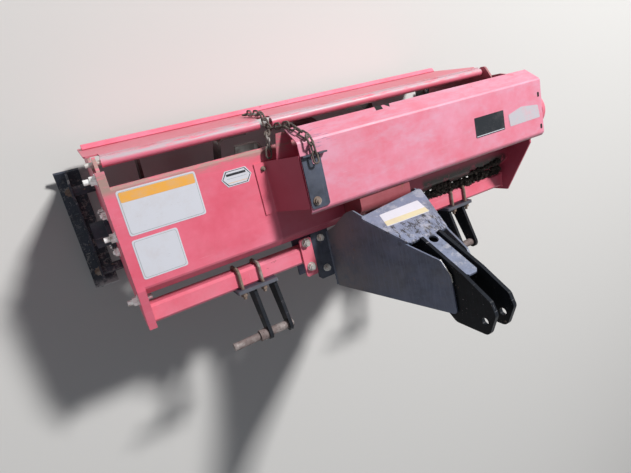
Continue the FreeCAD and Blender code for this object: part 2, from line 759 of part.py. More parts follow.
# The left bearing: an eight-sided flange and a round boss bolted to the end plate
bearing_flange = plate(
    "left_bearing_flange",
    "side",
    eight_sided((0, 0), size.bearing_radius),
    cell("bearing_wall"),
    f"-{cell('half_width')} - {cell('bearing_wall')}",
    f"{cell('rotor_back')} - {MIDDLE}",
    cell("rotor_height"),
)
bearing_boss = cylinder(
    "left_bearing_boss",
    cell("bearing_boss_radius"),
    cell("bearing_boss_reach"),
    f"-{cell('half_width')} - {cell('bearing_boss_reach')}",
    f"{cell('rotor_back')} - {MIDDLE}",
    cell("rotor_height"),
    "x",
)
bearing_bore = cylinder(
    "left_bearing_bore",
    f"{cell('stub_radius')} + {cell('running_gap')}",
    f"{cell('stub_end')} - {cell('half_width')} + 3",
    f"-{cell('stub_end')} - 3",
    f"{cell('rotor_back')} - {MIDDLE}",
    cell("rotor_height"),
    "x",
)
bearing_whole = fused("left_bearing_whole", [bearing_flange, bearing_boss])
keep(cut("left_bearing", bearing_whole, bearing_bore))

# The centre gearbox: a cast case on a foot, with a round input boss to the front
gearbox_case = new_body("gearbox_case")
GEARBOX_LOW = size.deck_top + size.seat_gap
add_pad(
    gearbox_case,
    "side",
    closed_outline(
        [
            (size.gearbox_front, GEARBOX_LOW + 14, 8),
            (size.gearbox_front, size.gearbox_top, 26),
            (size.gearbox_front + size.gearbox_depth, size.gearbox_top, 26),
            (size.gearbox_front + size.gearbox_depth, GEARBOX_LOW + 14, 8),
        ]
    ),
    cell("gearbox_width"),
)
add_pad(
    gearbox_case,
    "side",
    box_outline(
        size.gearbox_front - 6,
        GEARBOX_LOW,
        size.gearbox_front + size.gearbox_depth + 14,
        GEARBOX_LOW + 16,
    ),
    cell("gearbox_width"),
)
place(gearbox_case, f"{cell('hitch_offset')} - {cell('gearbox_width')} / 2", Y_SHIFT)
gearbox_snout = cylinder(
    "gearbox_snout",
    cell("snout_radius"),
    f"{cell('snout_reach')} + 20",
    cell("hitch_offset"),
    f"{cell('gearbox_front')} - {cell('snout_reach')} - {MIDDLE}",
    cell("drive_height"),
    "y",
)
gearbox_bore = cylinder(
    "gearbox_bore",
    f"{cell('input_radius')} + {cell('running_gap')}",
    f"{cell('input_seat')} + 2",
    cell("hitch_offset"),
    f"{cell('gearbox_front')} - {cell('snout_reach')} - {MIDDLE}",
    cell("drive_height"),
    "y",
)
gearbox_whole = fused("gearbox_whole", [gearbox_case, gearbox_snout])
keep(cut("gearbox", gearbox_whole, gearbox_bore))

# The cross drive tube from the gearbox to the right end plate
keep(
    cylinder(
        "drive_tube",
        cell("drive_tube_radius"),
        f"{cell('half_width')} - {cell('end_plate_wall')} - {cell('hitch_offset')} "
        f"- {cell('gearbox_width')} / 2",
        f"{cell('hitch_offset')} + {cell('gearbox_width')} / 2",
        f"{cell('rotor_back')} - {MIDDLE}",
        cell("drive_height"),
        "x",
    )
)


# The input shaft: a plain journal and a splined end towards the tractor
def spline_outline():
    """Teeth at the outer radius with straight flanks down to the root radius."""
    outer, root = size.input_radius, size.input_root_radius
    step = 2 * math.pi / SPLINE_COUNT
    tooth = step * 0.27
    gap = step * 0.23
    edges = []
    for index in range(SPLINE_COUNT):
        middle = index * step
        next_middle = middle + step
        edges.append(arc_between((0, 0), outer, middle - tooth, middle + tooth))
        edges.append(arc_between((0, 0), root, middle + step / 2 - gap, middle + step / 2 + gap))
        for first, first_radius, last, last_radius in (
            (middle + tooth, outer, middle + step / 2 - gap, root),
            (middle + step / 2 + gap, root, next_middle - tooth, outer),
        ):
            edges.append(
                Part.LineSegment(
                    Vector(first_radius * math.cos(first), first_radius * math.sin(first), 0),
                    Vector(last_radius * math.cos(last), last_radius * math.sin(last), 0),
                )
            )
    return edges


input_shaft = new_body("input_shaft")
add_pad(input_shaft, "front", spline_outline(), cell("input_reach"))
add_pad(
    input_shaft,
    "front",
    hole((0, 0), size.input_radius),
    cell("input_seat"),
    lift=f"-{cell('input_seat')}",
)
keep(
    place(
        input_shaft,
        cell("hitch_offset"),
        f"{cell('gearbox_front')} - {cell('snout_reach')} - {MIDDLE}",
        cell("drive_height"),
    )
)

# The headstock's feet, straps and lower clamps hold it on the front tube
for side in (-1, 1):
    hand = side_name(side)
    offset = size.hitch_offset
    inner = offset + side * size.foot_inner
    outer = offset + side * size.foot_outer
    strap_in = outer + side * size.strap_gap
    strap_out = strap_in + side * size.strap_width
    strap_middle = (strap_in + strap_out) / 2
    foot_middle = offset + side * (size.foot_inner + size.foot_outer) / 2
    foot_bolts = []
    strap_bolts = []
    for bolt_y in (-size.foot_bolt_ahead, size.bolt_ahead):
        foot_bolts += eight_sided((foot_middle, bolt_y), size.bolt_hole_radius)
    for bolt_y in (-size.bolt_ahead, size.bolt_ahead):
        strap_bolts += eight_sided((strap_middle, bolt_y), size.bolt_hole_radius)
    foot_edges = box_outline(
        min(inner, outer), -size.foot_front, max(inner, outer), size.foot_back, 8
    )
    strap_edges = box_outline(
        min(strap_in, strap_out), -size.strap_front, max(strap_in, strap_out), size.strap_back, 4
    )
    keep(
        plate(
            f"headstock_foot_{hand}",
            "floor",
            foot_edges + foot_bolts,
            cell("foot_wall"),
            y=Y_SHIFT,
            z=cell("tube_top"),
        )
    )
    keep(
        plate(
            f"strap_plate_{hand}",
            "floor",
            strap_edges + strap_bolts,
            cell("foot_wall"),
            y=Y_SHIFT,
            z=cell("tube_top"),
        )
    )
    clamp_edges = box_outline(
        min(inner, strap_out), -size.clamp_front, max(inner, strap_out), size.clamp_back
    )
    keep(
        plate(
            f"lower_clamp_{hand}",
            "floor",
            clamp_edges,
            cell("foot_wall"),
            y=Y_SHIFT,
            z=f"{cell('tube_top')} - {cell('tube_side')} - {cell('foot_wall')}",
        )
    )

# The headstock's side panels lean inwards from the feet to the mast
SIDE_RISE = size.side_top - FOOT_TOP
SIDE_LEAN = math.atan2(size.foot_inner + size.side_wall - size.side_top_half, SIDE_RISE)


def up_side(height):
    """How far up a side panel a height lies."""
    return (height - FOOT_TOP) / math.cos(SIDE_LEAN)


def back_point(rise, stand=0.0):
    """A point of the back plate's rear face in Y and Z, at a rise up its slope."""
    lean = math.radians(size.back_lean)
    return (
        size.back_edge_y - rise * math.sin(lean) + stand * math.cos(lean),
        size.back_edge_height + rise * math.cos(lean) + stand * math.sin(lean),
    )


UNDER_BACK = -size.back_wall - 4 * size.seat_gap
side_back = back_point(0, UNDER_BACK)
side_shoulder = back_point(size.back_shoulder, UNDER_BACK)
side_corners = [
    (size.side_foot_back, up_side(FOOT_TOP), 6),
    (-size.side_foot_front, up_side(FOOT_TOP), 6),
    (-size.side_front, up_side(size.side_top), 10),
    (103 - size.side_front, up_side(size.side_top - 3), 16),
    (141 - size.side_front, up_side(size.side_top - 24), 14),
    (side_shoulder[0], up_side(side_shoulder[1]), 10),
    (side_back[0], up_side(side_back[1]), 8),
    (side_back[0] + 17, up_side(side_back[1] - 31), 12),
    (side_back[0] + 9, up_side(side_back[1] - 60), 18),
    (size.side_foot_back + 18, up_side(FOOT_TOP + 37), 12),
]
for side in (-1, 1):
    hand = side_name(side)
    panel = new_body(f"headstock_side_{hand}")
    add_pad(
        panel,
        "side",
        closed_outline(side_corners),
        cell("side_wall"),
        lift=None if side > 0 else f"-{cell('side_wall')}",
    )
    lean_degrees = math.degrees(SIDE_LEAN)
    keep(
        place(
            panel,
            f"{cell('hitch_offset')} + {side} * {cell('foot_inner')}",
            Y_SHIFT,
            f"{cell('tube_top')} + {cell('foot_wall')} + {cell('seat_gap')}",
            turn=((0, 1, 0), -side * lean_degrees),
        )
    )

# The back plate leans forward to the mast and ends in a tongue between the ears
back_outline = closed_outline(
    [
        (-size.back_half_low, size.back_skew - 7, 5),
        (size.back_half_low, -size.back_skew - 7, 5),
        (size.back_half_high, size.back_shoulder, 8),
        (size.tongue_half, size.back_shoulder),
        (size.tongue_half, size.tongue_end, 8),
        (-size.tongue_half, size.tongue_end, 8),
        (-size.tongue_half, size.back_shoulder),
        (-size.back_half_high, size.back_shoulder, 8),
    ]
)
back_hole = hole((0, size.back_hole_rise), size.back_hole_radius)
keep(
    plate(
        "headstock_back",
        "front",
        back_outline + back_hole,
        cell("back_wall"),
        x=cell("hitch_offset"),
        y=f"{cell('back_edge_y')} - {MIDDLE}",
        z=cell("back_edge_height"),
        turn=((1, 0, 0), size.back_lean),
    )
)

# The mast's two ears carry the top link's pin
ear_corners = [
    back_point(size.back_shoulder - 30, -size.back_wall - size.seat_gap),
    back_point(size.back_shoulder + 1, -size.back_wall - size.seat_gap),
    back_point(size.back_shoulder + 1, 7),
    back_point(size.tongue_end - 4, 8) + (20,),
    (55 - size.mast_pin_ahead, size.mast_pin_height + 23, 14),
    (24 - size.mast_pin_ahead, size.mast_pin_height + 34, 16),
    (-35 - size.mast_pin_ahead, size.mast_pin_height + 8, 20),
    (-32 - size.mast_pin_ahead, size.mast_pin_height - 94, 20),
    (106 - size.mast_pin_ahead, size.mast_pin_height - 254, 16),
]
ear_hole = hole((-size.mast_pin_ahead, size.mast_pin_height), size.mast_pin_radius)
for side in (-1, 1):
    ear_place = f"{cell('hitch_offset')} + {side} * {cell('mast_gap')} / 2"
    if side < 0:
        ear_place += f" - {cell('mast_wall')}"
    keep(
        plate(
            f"mast_ear_{side_name(side)}",
            "side",
            closed_outline(ear_corners) + ear_hole,
            cell("mast_wall"),
            x=ear_place,
            y=Y_SHIFT,
        )
    )

# The lower hitch arms: a mounting plate, two arms and a pin on each side
PAD_FACE = -TUBE_HALF - size.pad_wall
for side in (-1, 1):
    hand = side_name(side)
    if side < 0:
        pad_reach = (size.pad_inner_left, size.pad_outer_left)
        ubolt_reach = (size.ubolt_inner_left, size.ubolt_outer_left)
    else:
        pad_reach = (size.pad_inner_right, size.pad_outer_right)
        ubolt_reach = (size.ubolt_inner_right, size.ubolt_outer_right)
    pad_edges = sorted(size.hitch_offset + side * reach for reach in pad_reach)
    ubolt_places = [size.hitch_offset + side * reach for reach in ubolt_reach]
    leg_high = size.tube_top + size.ubolt_radius + size.seat_gap
    leg_low = TUBE_LOW - size.ubolt_radius - size.seat_gap
    pad_holes = []
    for middle in ubolt_places:
        for level in (leg_high, leg_low):
            pad_holes += eight_sided((middle, level), size.ubolt_radius + size.seat_gap)
    keep(
        plate(
            f"hitch_pad_{hand}",
            "front",
            box_outline(
                pad_edges[0],
                TUBE_LOW - size.pad_margin,
                pad_edges[1],
                size.tube_top + size.pad_margin,
                3,
            )
            + pad_holes,
            cell("pad_wall"),
            y=f"-{cell('tube_side')} / 2 - {MIDDLE}",
        )
    )
    pin_y = -size.pin_ahead - (size.pin_stagger if side > 0 else 0)
    arm_edges = tapered_arm(
        (PAD_FACE, size.tube_top + size.arm_base_rise - size.arm_base_depth),
        (PAD_FACE, size.tube_top + size.arm_base_rise),
        (pin_y, size.pin_height),
        size.arm_tip_radius,
    )
    pin_hole = hole((pin_y, size.pin_height), size.pin_body_radius + size.pin_gap)
    arm_pieces = []
    for reach in ("arm_inner", "arm_outer"):
        arm_pieces.append(
            plate(
                f"hitch_{reach}_{hand}",
                "side",
                arm_edges + pin_hole,
                cell("arm_wall"),
                x=f"{cell('hitch_offset')} + {side} * {cell(reach)} - {cell('arm_wall')} / 2",
                y=Y_SHIFT,
            )
        )
    keep(fused(f"hitch_arms_{hand}", arm_pieces))
    # Each pin points to -X: a body through both arms, a collar, and the free end for the link
    open_arm = "arm_outer" if side < 0 else "arm_inner"
    collar_end = f"{cell('hitch_offset')} + {side} * {cell(open_arm)} - {cell('arm_wall')} / 2"
    pin_steps = []
    for step, radius, low, length in (
        (
            "body",
            "pin_body_radius",
            collar_end,
            f"{cell('arm_outer')} - {cell('arm_inner')} + {cell('arm_wall')} + {cell('pin_stand')}",
        ),
        (
            "collar",
            "pin_collar_radius",
            f"{collar_end} - {cell('pin_collar')} - {cell('seat_gap')}",
            cell("pin_collar"),
        ),
        (
            "end",
            "pin_radius",
            f"{collar_end} - {cell('pin_collar')} - {cell('pin_free')}",
            f"{cell('pin_free')} + {cell('pin_collar')}",
        ),
    ):
        pin_steps.append(
            cylinder(
                f"hitch_pin_{step}_{hand}",
                cell(radius),
                length,
                low,
                f"{pin_y} - {MIDDLE}",
                cell("pin_height"),
                "x",
            )
        )
    keep(fused(f"hitch_pin_{hand}", pin_steps))
    rods = []
    for middle in ubolt_places:
        back = TUBE_HALF + size.ubolt_radius + size.seat_gap
        tip = PAD_FACE - size.ubolt_thread
        bend = size.ubolt_bend
        corner = bend * (1 - math.sqrt(0.5))
        half_path = [(tip, leg_high), (back - bend, leg_high), (back - corner, leg_high - corner)]
        half_path.append((back, leg_high - bend))
        middle_level = leg_high + leg_low
        path = half_path + [(y, middle_level - z) for y, z in reversed(half_path)]
        spine = Part.makePolygon([Vector(middle, y, z) for y, z in path])
        section = []
        for number in range(9):
            angle = math.radians(45 * number + 22.5)
            section.append(
                Vector(
                    middle + size.ubolt_radius * math.cos(angle),
                    tip,
                    leg_high + size.ubolt_radius * math.sin(angle),
                )
            )
        rods.append(spine.makePipeShell([Part.makePolygon(section)], True, False, 1))
    ubolts = shaped(f"u_bolts_{hand}", Part.makeCompound(rods))
    ubolts.Placement = Placement(Vector(0, -MIDDLE, 0), Rotation())
    keep(ubolts)

# The rotor: a tube with flanges and stub axles
ROTOR_Y = f"{cell('rotor_back')} - {MIDDLE}"
rotor_pieces = [
    cylinder(
        "rotor_tube",
        cell("rotor_tube_radius"),
        f"2 * {cell('rotor_tube_half')}",
        f"-{cell('rotor_tube_half')}",
        ROTOR_Y,
        cell("rotor_height"),
        "x",
    ),
    cylinder(
        "rotor_stubs",
        cell("stub_radius"),
        f"2 * {cell('stub_end')}",
        f"-{cell('stub_end')}",
        ROTOR_Y,
        cell("rotor_height"),
        "x",
    ),
]
flange_places = [(index - (FLANGE_COUNT - 1) / 2) * size.flange_pitch for index in range(FLANGE_COUNT)]
for index, middle in enumerate(flange_places):
    rotor_pieces.append(
        plate(
            f"rotor_flange_{index}",
            "side",
            eight_sided((0, 0), size.flange_radius),
            cell("flange_wall"),
            f"{middle / size.flange_pitch} * {cell('flange_pitch')} - {cell('flange_wall')} / 2",
            ROTOR_Y,
            cell("rotor_height"),
        )
    )
keep(fused("rotor", rotor_pieces))


# A tine is a flat bar bent to an L and cut to a backward-swept edge
def tine():
    """One right-hand tine in its own frame: X beside the flange, Y along the cut, Z outwards."""
    crest = math.sqrt(size.tine_reach**2 - 46**2)
    wall = size.tine_thickness
    start = size.flange_wall / 2
    profile = bent_strip(
        [
            (start + size.tine_side_reach, crest),
            (start + size.tine_bend, crest),
            (start, crest - size.tine_bend),
            (start, size.tine_root),
        ],
        wall,
        0,
    )
    side_face = Part.Face(Part.Wire(Part.__sortEdges__([edge.toShape() for edge in profile])))
    bar = side_face.extrude(Vector(0, 0, 130))
    turned = Placement(Vector(0, 65, 0), Rotation(Vector(1, 0, 0), 90))
    bar.Placement = turned
    waist = (size.tine_root + crest) / 2
    blade_corners = [
        (-24, size.tine_root - 1),
        (24, size.tine_root - 1),
        (27, waist),
        (-2, crest + 1),
        (-46, crest + 1),
        (-23, waist),
    ]
    edges = closed_outline(blade_corners)
    blade_face = Part.Face(Part.Wire([edge.toShape() for edge in edges]))
    blade = blade_face.extrude(Vector(0, 0, size.tine_side_reach + 20))
    blade.Placement = Placement(
        Vector(-1, 0, 0), Rotation(Vector(0, 1, 0), Vector(0, 0, 1), Vector(1, 0, 0), "ZXY")
    )
    return bar.common(blade)


right_tine = tine()
left_tine = right_tine.mirror(Vector(0, 0, 0), Vector(1, 0, 0))
tines = []
for index, middle in enumerate(flange_places):
    for number in range(TINE_COUNT):
        angle = 360.0 / TINE_COUNT * (number + index / FLANGE_COUNT)
        copy = (right_tine if number % 2 else left_tine).copy()
        copy.Placement = Placement(
            Vector(middle, size.rotor_back - MIDDLE, size.rotor_height),
            Rotation(Vector(1, 0, 0), angle),
        ).multiply(copy.Placement)
        tines.append(copy)
keep(shaped("tines", Part.makeCompound(tines)))


# The tail gate hangs from a hinge tube that is notched for the chain
gate_tube_ends = [
    (-size.gate_tube_half, -size.gate_notch_middle - size.gate_notch_half),
    (-size.gate_notch_middle + size.gate_notch_half, size.gate_tube_half),
]
GATE_Y = f"{cell('gate_axis_y')} - {MIDDLE}"
gate_tubes = []
for index, (start, end) in enumerate(gate_tube_ends):
    low_name, high_name = [
        (
            f"-{cell('gate_tube_half')}",
            f"{cell('gate_tube_half')} - {cell('gate_notch_middle')} - {cell('gate_notch_half')}",
        ),
        (
            f"{cell('gate_notch_half')} - {cell('gate_notch_middle')}",
            f"{cell('gate_tube_half')} + {cell('gate_notch_middle')} - {cell('gate_notch_half')}",
        ),
    ][index]
    gate_tubes.append(
        cylinder(
            f"gate_tube_{index}",
            cell("gate_tube_radius"),
            high_name,
            low_name,
            GATE_Y,
            cell("gate_axis_height"),
            "x",
        )
    )
gate_bore = cylinder(
    "gate_bore",
    f"{cell('hinge_pin_radius')} + {cell('running_gap')}",
    f"2 * {cell('gate_half')}",
    f"-{cell('gate_half')}",
    GATE_Y,
    cell("gate_axis_height"),
    "x",
)
keep(cut("tailgate_tube", fused("gate_tubes", gate_tubes), gate_bore))


def gate_level(drop):
    """The height in the gate's own plane, measured down from the hinge axis."""
    return -drop


gate_outline = closed_outline(
    [
        (-size.gate_half, gate_level(size.gate_shoulder), 4),
        (-size.gate_half, gate_level(size.gate_height), 10),
        (size.gate_half, gate_level(size.gate_height), 10),
        (size.gate_half, gate_level(size.gate_shoulder), 4),
        (size.gate_tube_half - 2, gate_level(size.gate_shoulder)),
        (size.gate_tube_half - 2, 0),
        (-size.gate_notch_middle + size.gate_notch_half, 0),
        (-size.gate_notch_middle + size.gate_notch_half, gate_level(22), 6),
        (-size.gate_notch_middle - size.gate_notch_half, gate_level(22), 6),
        (-size.gate_notch_middle - size.gate_notch_half, 0),
        (-size.gate_tube_half + 2, 0),
        (-size.gate_tube_half + 2, gate_level(size.gate_shoulder)),
    ]
)
gate_turn = ((1, 0, 0), size.gate_slope)
GATE_FACE_Y = f"{cell('gate_axis_y')} + {cell('gate_tube_radius')} + {cell('seat_gap')} - {MIDDLE}"
gate_panel = new_body("tailgate_panel")
add_pad(gate_panel, "front", gate_outline, cell("gate_wall"), lift=f"-{cell('gate_wall')}")
keep(place(gate_panel, "0", GATE_FACE_Y, cell("gate_axis_height"), gate_turn))

gate_rib = new_body("tailgate_rib")
rib_half = size.gate_rib_width / 2
add_pad(
    gate_rib,
    "side",
    bent_strip(
        [
            (size.gate_wall + size.seat_gap, rib_half - size.gate_rib_place),
            (size.gate_wall + size.gate_rib_height - 3, rib_half - 9 - size.gate_rib_place),
            (size.gate_wall + size.gate_rib_height - 3, 9 - rib_half - size.gate_rib_place),
            (size.gate_wall + size.seat_gap, -rib_half - size.gate_rib_place),
        ],
        3.0,
        2.0,
    ),
    f"2 * ({cell('gate_half')} - 10)",
)
keep(
    place(
        gate_rib,
        f"10 - {cell('gate_half')}",
        GATE_FACE_Y,
        cell("gate_axis_height"),
        gate_turn,
    )
)

# Hinge lugs on the end plates and pins into the ends of the hinge tube
lug_edges = closed_outline(
    [
        (size.end_plate_rear - 40, size.gate_axis_height + 44, 5),
        (size.end_plate_rear - 40, size.gate_axis_height - 2, 5),
        (
            size.gate_axis_y + size.lug_radius,
            size.gate_axis_height - size.lug_radius,
            size.lug_radius - 0.5,
        ),
        (
            size.gate_axis_y + size.lug_radius,
            size.gate_axis_height + size.lug_radius,
            size.lug_radius - 0.5,
        ),
        (size.end_plate_rear - 12, size.gate_axis_height + 44, 5),
    ]
)
lug_hole = hole((size.gate_axis_y, size.gate_axis_height), size.hinge_pin_radius + size.running_gap)
for side in (-1, 1):
    hand = side_name(side)
    lug_x = f"{cell('half_width')} - {cell('end_plate_wall')} - {cell('lug_wall')}"
    if side < 0:
        lug_x = f"{cell('end_plate_wall')} - {cell('half_width')}"
    keep(
        plate(f"hinge_lug_{hand}", "side", lug_edges + lug_hole, cell("lug_wall"), x=lug_x, y=Y_SHIFT)
    )
    pin_low = f"{cell('gate_tube_half')} - {cell('hinge_pin_depth')}"
    pin_length = f"{cell('half_width')} + 12 - {cell('gate_tube_half')} + {cell('hinge_pin_depth')}"
    if side < 0:
        pin_low = f"-{cell('half_width')} - 12"
    keep(
        cylinder(
            f"hinge_pin_{hand}",
            cell("hinge_pin_radius"),
            pin_length,
            pin_low,
            GATE_Y,
            cell("gate_axis_height"),
            "x",
        )
    )

# The skid shoes: a sole with turned-up ends, an upright web and a gusset behind
sole_path = [
    (size.skid_front, size.toe_rise),
    (size.skid_front + 52, 0),
    (size.skid_back - 44, 0),
    (size.skid_back, size.heel_rise),
]
web_edges = closed_outline(
    [
        (size.post_front - 70, size.sole_wall + 14, 8),
        (size.post_front - 40, size.sole_wall),
        (size.skid_back - 48, size.sole_wall),
        (size.skid_back - 8, size.heel_rise + size.sole_wall + 4),
        (size.post_back + size.post_half + 6, size.web_height + 24, 10),
        (size.post_back + size.post_half, size.post_height + size.post_half, 14),
        (size.post_back - size.post_half, size.post_height + size.post_half, 14),
        (size.post_back - size.post_half - 14, size.web_height, 14),
        (size.post_front + size.post_half + 14, size.web_height, 14),
        (size.post_front + size.post_half, size.post_height + size.post_half, 14),
        (size.post_front - size.post_half, size.post_height + size.post_half, 14),
        (size.post_front - size.post_half, size.web_height, 14),
    ]
)
for side in (-1, 1):
    hand = side_name(side)
    sole_x = f"{cell('skid_outer')} - {cell('skid_width')}"
    if side < 0:
        sole_x = f"-{cell('skid_outer')}"
    web_x = cell("web_place")
    if side < 0:
        web_x = f"-{cell('web_place')} - {cell('web_wall')}"
    sole = plate(
        f"skid_sole_{hand}",
        "side",
        bent_strip(sole_path, size.sole_wall, size.sole_bend),
        cell("skid_width"),
        x=sole_x,
        y=Y_SHIFT,
    )
    web_holes = []
    for post in (size.post_front, size.post_back):
        web_holes += eight_sided((post, size.post_height), size.bolt_hole_radius)
    web = plate(
        f"skid_web_{hand}", "side", web_edges + web_holes, cell("web_wall"), x=web_x, y=Y_SHIFT
    )
    keep(fused(f"skid_{hand}", [sole, web]))
    spacer_x = f"{cell('half_width')}"
    if side < 0:
        spacer_x = f"-{cell('web_place')}"
    spacers = []
    for number, post in enumerate(("post_front", "post_back")):
        spacers.append(
            plate(
                f"skid_spacer_{hand}_{number}",
                "side",
                eight_sided((0, 0), size.spacer_radius),
                f"{cell('web_place')} - {cell('half_width')}",
                spacer_x,
                f"{cell(post)} - {MIDDLE}",
                cell("post_height"),
            )
        )
    keep(fused(f"skid_spacers_{hand}", spacers))

# The chain's bracket is bolted to the cover, and its keyhole slot grips a link
bracket_low = -size.bracket_left
bracket_high = -size.bracket_left + size.bracket_width
slot_middle = (bracket_low + bracket_high) / 2 + 6
slot_half = size.bracket_slot_width / 2
bracket_edges = closed_outline(
    [
        (bracket_low, size.bracket_front, 5),
        (bracket_high, size.bracket_front, 5),
        (bracket_high, size.bracket_back, 8),
        (slot_middle + slot_half, size.bracket_back),
        (slot_middle + slot_half, size.bracket_back - 28, slot_half - 0.2),
        (slot_middle - slot_half, size.bracket_back - 28, slot_half - 0.2),
        (slot_middle - slot_half, size.bracket_back),
        (bracket_low, size.bracket_back, 8),
    ]
)
bracket_bolt = eight_sided((bracket_low + 18, size.bracket_front + 20), size.bolt_hole_radius)
bracket_strip = plate(
    "chain_bracket_strip",
    "floor",
    bracket_edges + bracket_bolt,
    cell("bracket_wall"),
    y=Y_SHIFT,
    z=cell("cover_top"),
)
lip_half = slot_half + 7.5
bracket_lips = [
    plate(
        f"chain_bracket_lip_{number}",
        "floor",
        box_outline(start, size.bracket_back - size.bracket_wall, end, size.bracket_back),
        f"{cell('bracket_wall')} + {cell('bracket_rise')}",
        y=Y_SHIFT,
        z=f"{cell('cover_top')} + {cell('seat_gap')}",
    )
    for number, (start, end) in enumerate(
        ((bracket_low, slot_middle - lip_half), (slot_middle + lip_half, bracket_high + 16))
    )
]
keep(fused("chain_bracket", [bracket_strip] + bracket_lips))


# Chains: each link is a flat-sided ring, turned a quarter against its neighbours
def link_ring():
    """A ring with straight sides and round ends, long along X, flat in XY."""
    half_way = (size.chain_pitch - size.chain_inner_width) / 2
    wires = []
    for radius in (size.chain_inner_width / 2 + size.chain_wire, size.chain_inner_width / 2):
        corners = []
        for number in range(8):
            angle = math.radians(60 * (number % 4) - 90 + 180 * (number // 4))
            end = half_way if number < 4 else -half_way
            corners.append(Vector(end + radius * math.cos(angle), radius * math.sin(angle), 0))
        wires.append(Part.makePolygon(corners + corners[:1]))
    flat = Part.Face(wires[0]).cut(Part.Face(wires[1])).Faces[0]
    ring = flat.extrude(Vector(0, 0, size.chain_wire))
    ring.translate(Vector(0, 0, -size.chain_wire / 2))
    return ring


def chain(label, route, count=None, first_roll=0):
    """Links laid end to end along a route of points, to its end where no count is given."""
    step = size.chain_pitch - size.chain_play
    points = [Vector(*point) for point in route]
    if count is None:
        count = int(sum((b - a).Length for a, b in zip(points, points[1:])) / step)
    joints = [points[0]]
    leg = 0
    here = points[0]
    while len(joints) < count + 1:
        left = step
        while leg < len(points) - 2 and (points[leg + 1] - here).Length < left:
            left -= (points[leg + 1] - here).Length
            here = points[leg + 1]
            leg += 1
        here = here + (points[leg + 1] - points[leg]).normalize() * left
        joints.append(here)
    links = []
    for index, (first, last) in enumerate(zip(joints, joints[1:])):
        way = (last - first).normalize()
        roll = 90 if (index + first_roll) % 2 else 0
        turn = Rotation(Vector(1, 0, 0), way).multiply(Rotation(Vector(1, 0, 0), roll))
        copy = link_ring()
        copy.Placement = Placement((first + last) * 0.5, turn)
        links.append(copy)
    piece = shaped(label, Part.makeCompound(links))
    piece.Placement = Placement(Vector(0, -MIDDLE, 0), Rotation())
    return piece


chain_half = size.chain_inner_width / 2 + size.chain_wire
lift_over = chain_half + 1.0
notch_x = -size.gate_notch_middle
chain_drop_y = max(size.cover_back + 11, size.deck_back + 45)
keep(
    chain(
        "lift_chain",
        [
            (slot_middle, size.bracket_back - 22, size.cover_top + lift_over + 4),
            (slot_middle - 3, size.cover_fold + 6, size.cover_top + lift_over + 1),
            (notch_x + 8, size.cover_back + 10, size.cover_back_height + 6),
            (notch_x + 5, chain_drop_y, size.deck_top + 25),
            (notch_x, size.gate_axis_y - 13, size.gate_axis_height + 19),
        ],
    )
)
gate_out = size.gate_tube_radius + size.gate_wall + size.seat_gap + chain_half
chain_lean = math.tan(GATE_LEAN)
keep(
    chain(
        "tailgate_chain",
        [
            (notch_x, size.gate_axis_y + 10, size.gate_axis_height - 2),
            (notch_x, size.gate_axis_y + gate_out + 2, size.gate_axis_height - 12),
            (
                notch_x - 4,
                size.gate_axis_y + gate_out + 200 * chain_lean,
                size.gate_axis_height - 200,
            ),
        ],
        int(size.gate_chain_links),
    )
)
deck_chain_x = -size.cover_foot + 12
chain_low = size.deck_top + lift_over
keep(
    chain(
        "deck_chain",
        [
            (deck_chain_x, size.cover_end_back + 9, chain_low + 1),
            (deck_chain_x + 7, size.deck_back + 17, chain_low + 1),
            (notch_x - 15, size.gate_axis_y - 16, size.gate_axis_height + 38),
        ],
    )
)

document.recompute()

# Every object is checked before any file is written
for item in document.Objects:
    if {"Invalid", "Error"} & set(item.State):
        raise RuntimeError(f"{item.Label} failed: {item.State}")
for piece in PARTS:
    if piece.Shape.isNull() or not piece.Shape.isValid() or not piece.Shape.Solids:
        raise RuntimeError(f"{piece.Label} has no valid solid")

os.makedirs("parts", exist_ok=True)
for piece in PARTS:
    piece.Shape.exportStep(f"parts/{piece.Label}.step")
print("middle", round(MIDDLE, 3), "sub-parts", len(PARTS))
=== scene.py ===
# %% [markdown]
# # A sun-faded rotary tiller
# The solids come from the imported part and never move. This script gives them their finishes and
# adds what is too small or too flat for the part's source: bolts, nuts, blank plates, round chain
# links, weld seams and packed soil. Each cell makes one thing and says why it is made that way.

# %% Load the part
import json
import math
import bpy
import bmesh
import numpy as np
from mathutils import Matrix, Vector


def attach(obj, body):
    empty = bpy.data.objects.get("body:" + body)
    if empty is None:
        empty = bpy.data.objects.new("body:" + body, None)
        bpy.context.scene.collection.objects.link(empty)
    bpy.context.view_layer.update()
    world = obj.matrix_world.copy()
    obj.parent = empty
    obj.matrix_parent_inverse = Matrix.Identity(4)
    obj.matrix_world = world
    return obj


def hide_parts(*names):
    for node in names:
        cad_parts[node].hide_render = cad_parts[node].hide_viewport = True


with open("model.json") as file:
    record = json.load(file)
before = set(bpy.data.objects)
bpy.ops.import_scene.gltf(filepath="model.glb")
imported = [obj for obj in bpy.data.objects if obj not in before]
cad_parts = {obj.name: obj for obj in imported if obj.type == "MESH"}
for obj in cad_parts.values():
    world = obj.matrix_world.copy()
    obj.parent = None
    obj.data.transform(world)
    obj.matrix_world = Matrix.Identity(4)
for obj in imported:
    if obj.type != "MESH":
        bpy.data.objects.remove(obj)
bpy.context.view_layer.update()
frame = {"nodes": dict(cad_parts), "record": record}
NODES = frame["nodes"]

# %% [markdown]
# ## Shader maths
# A finish is a sum of small effects: bleached paint, dust where it can settle, scratches, chips and
# rust. Written as Python expressions the sums stay readable, so one small class wraps a node socket
# and turns an operator into a Math node. Colours go through Mix nodes, because a Math node greys them.

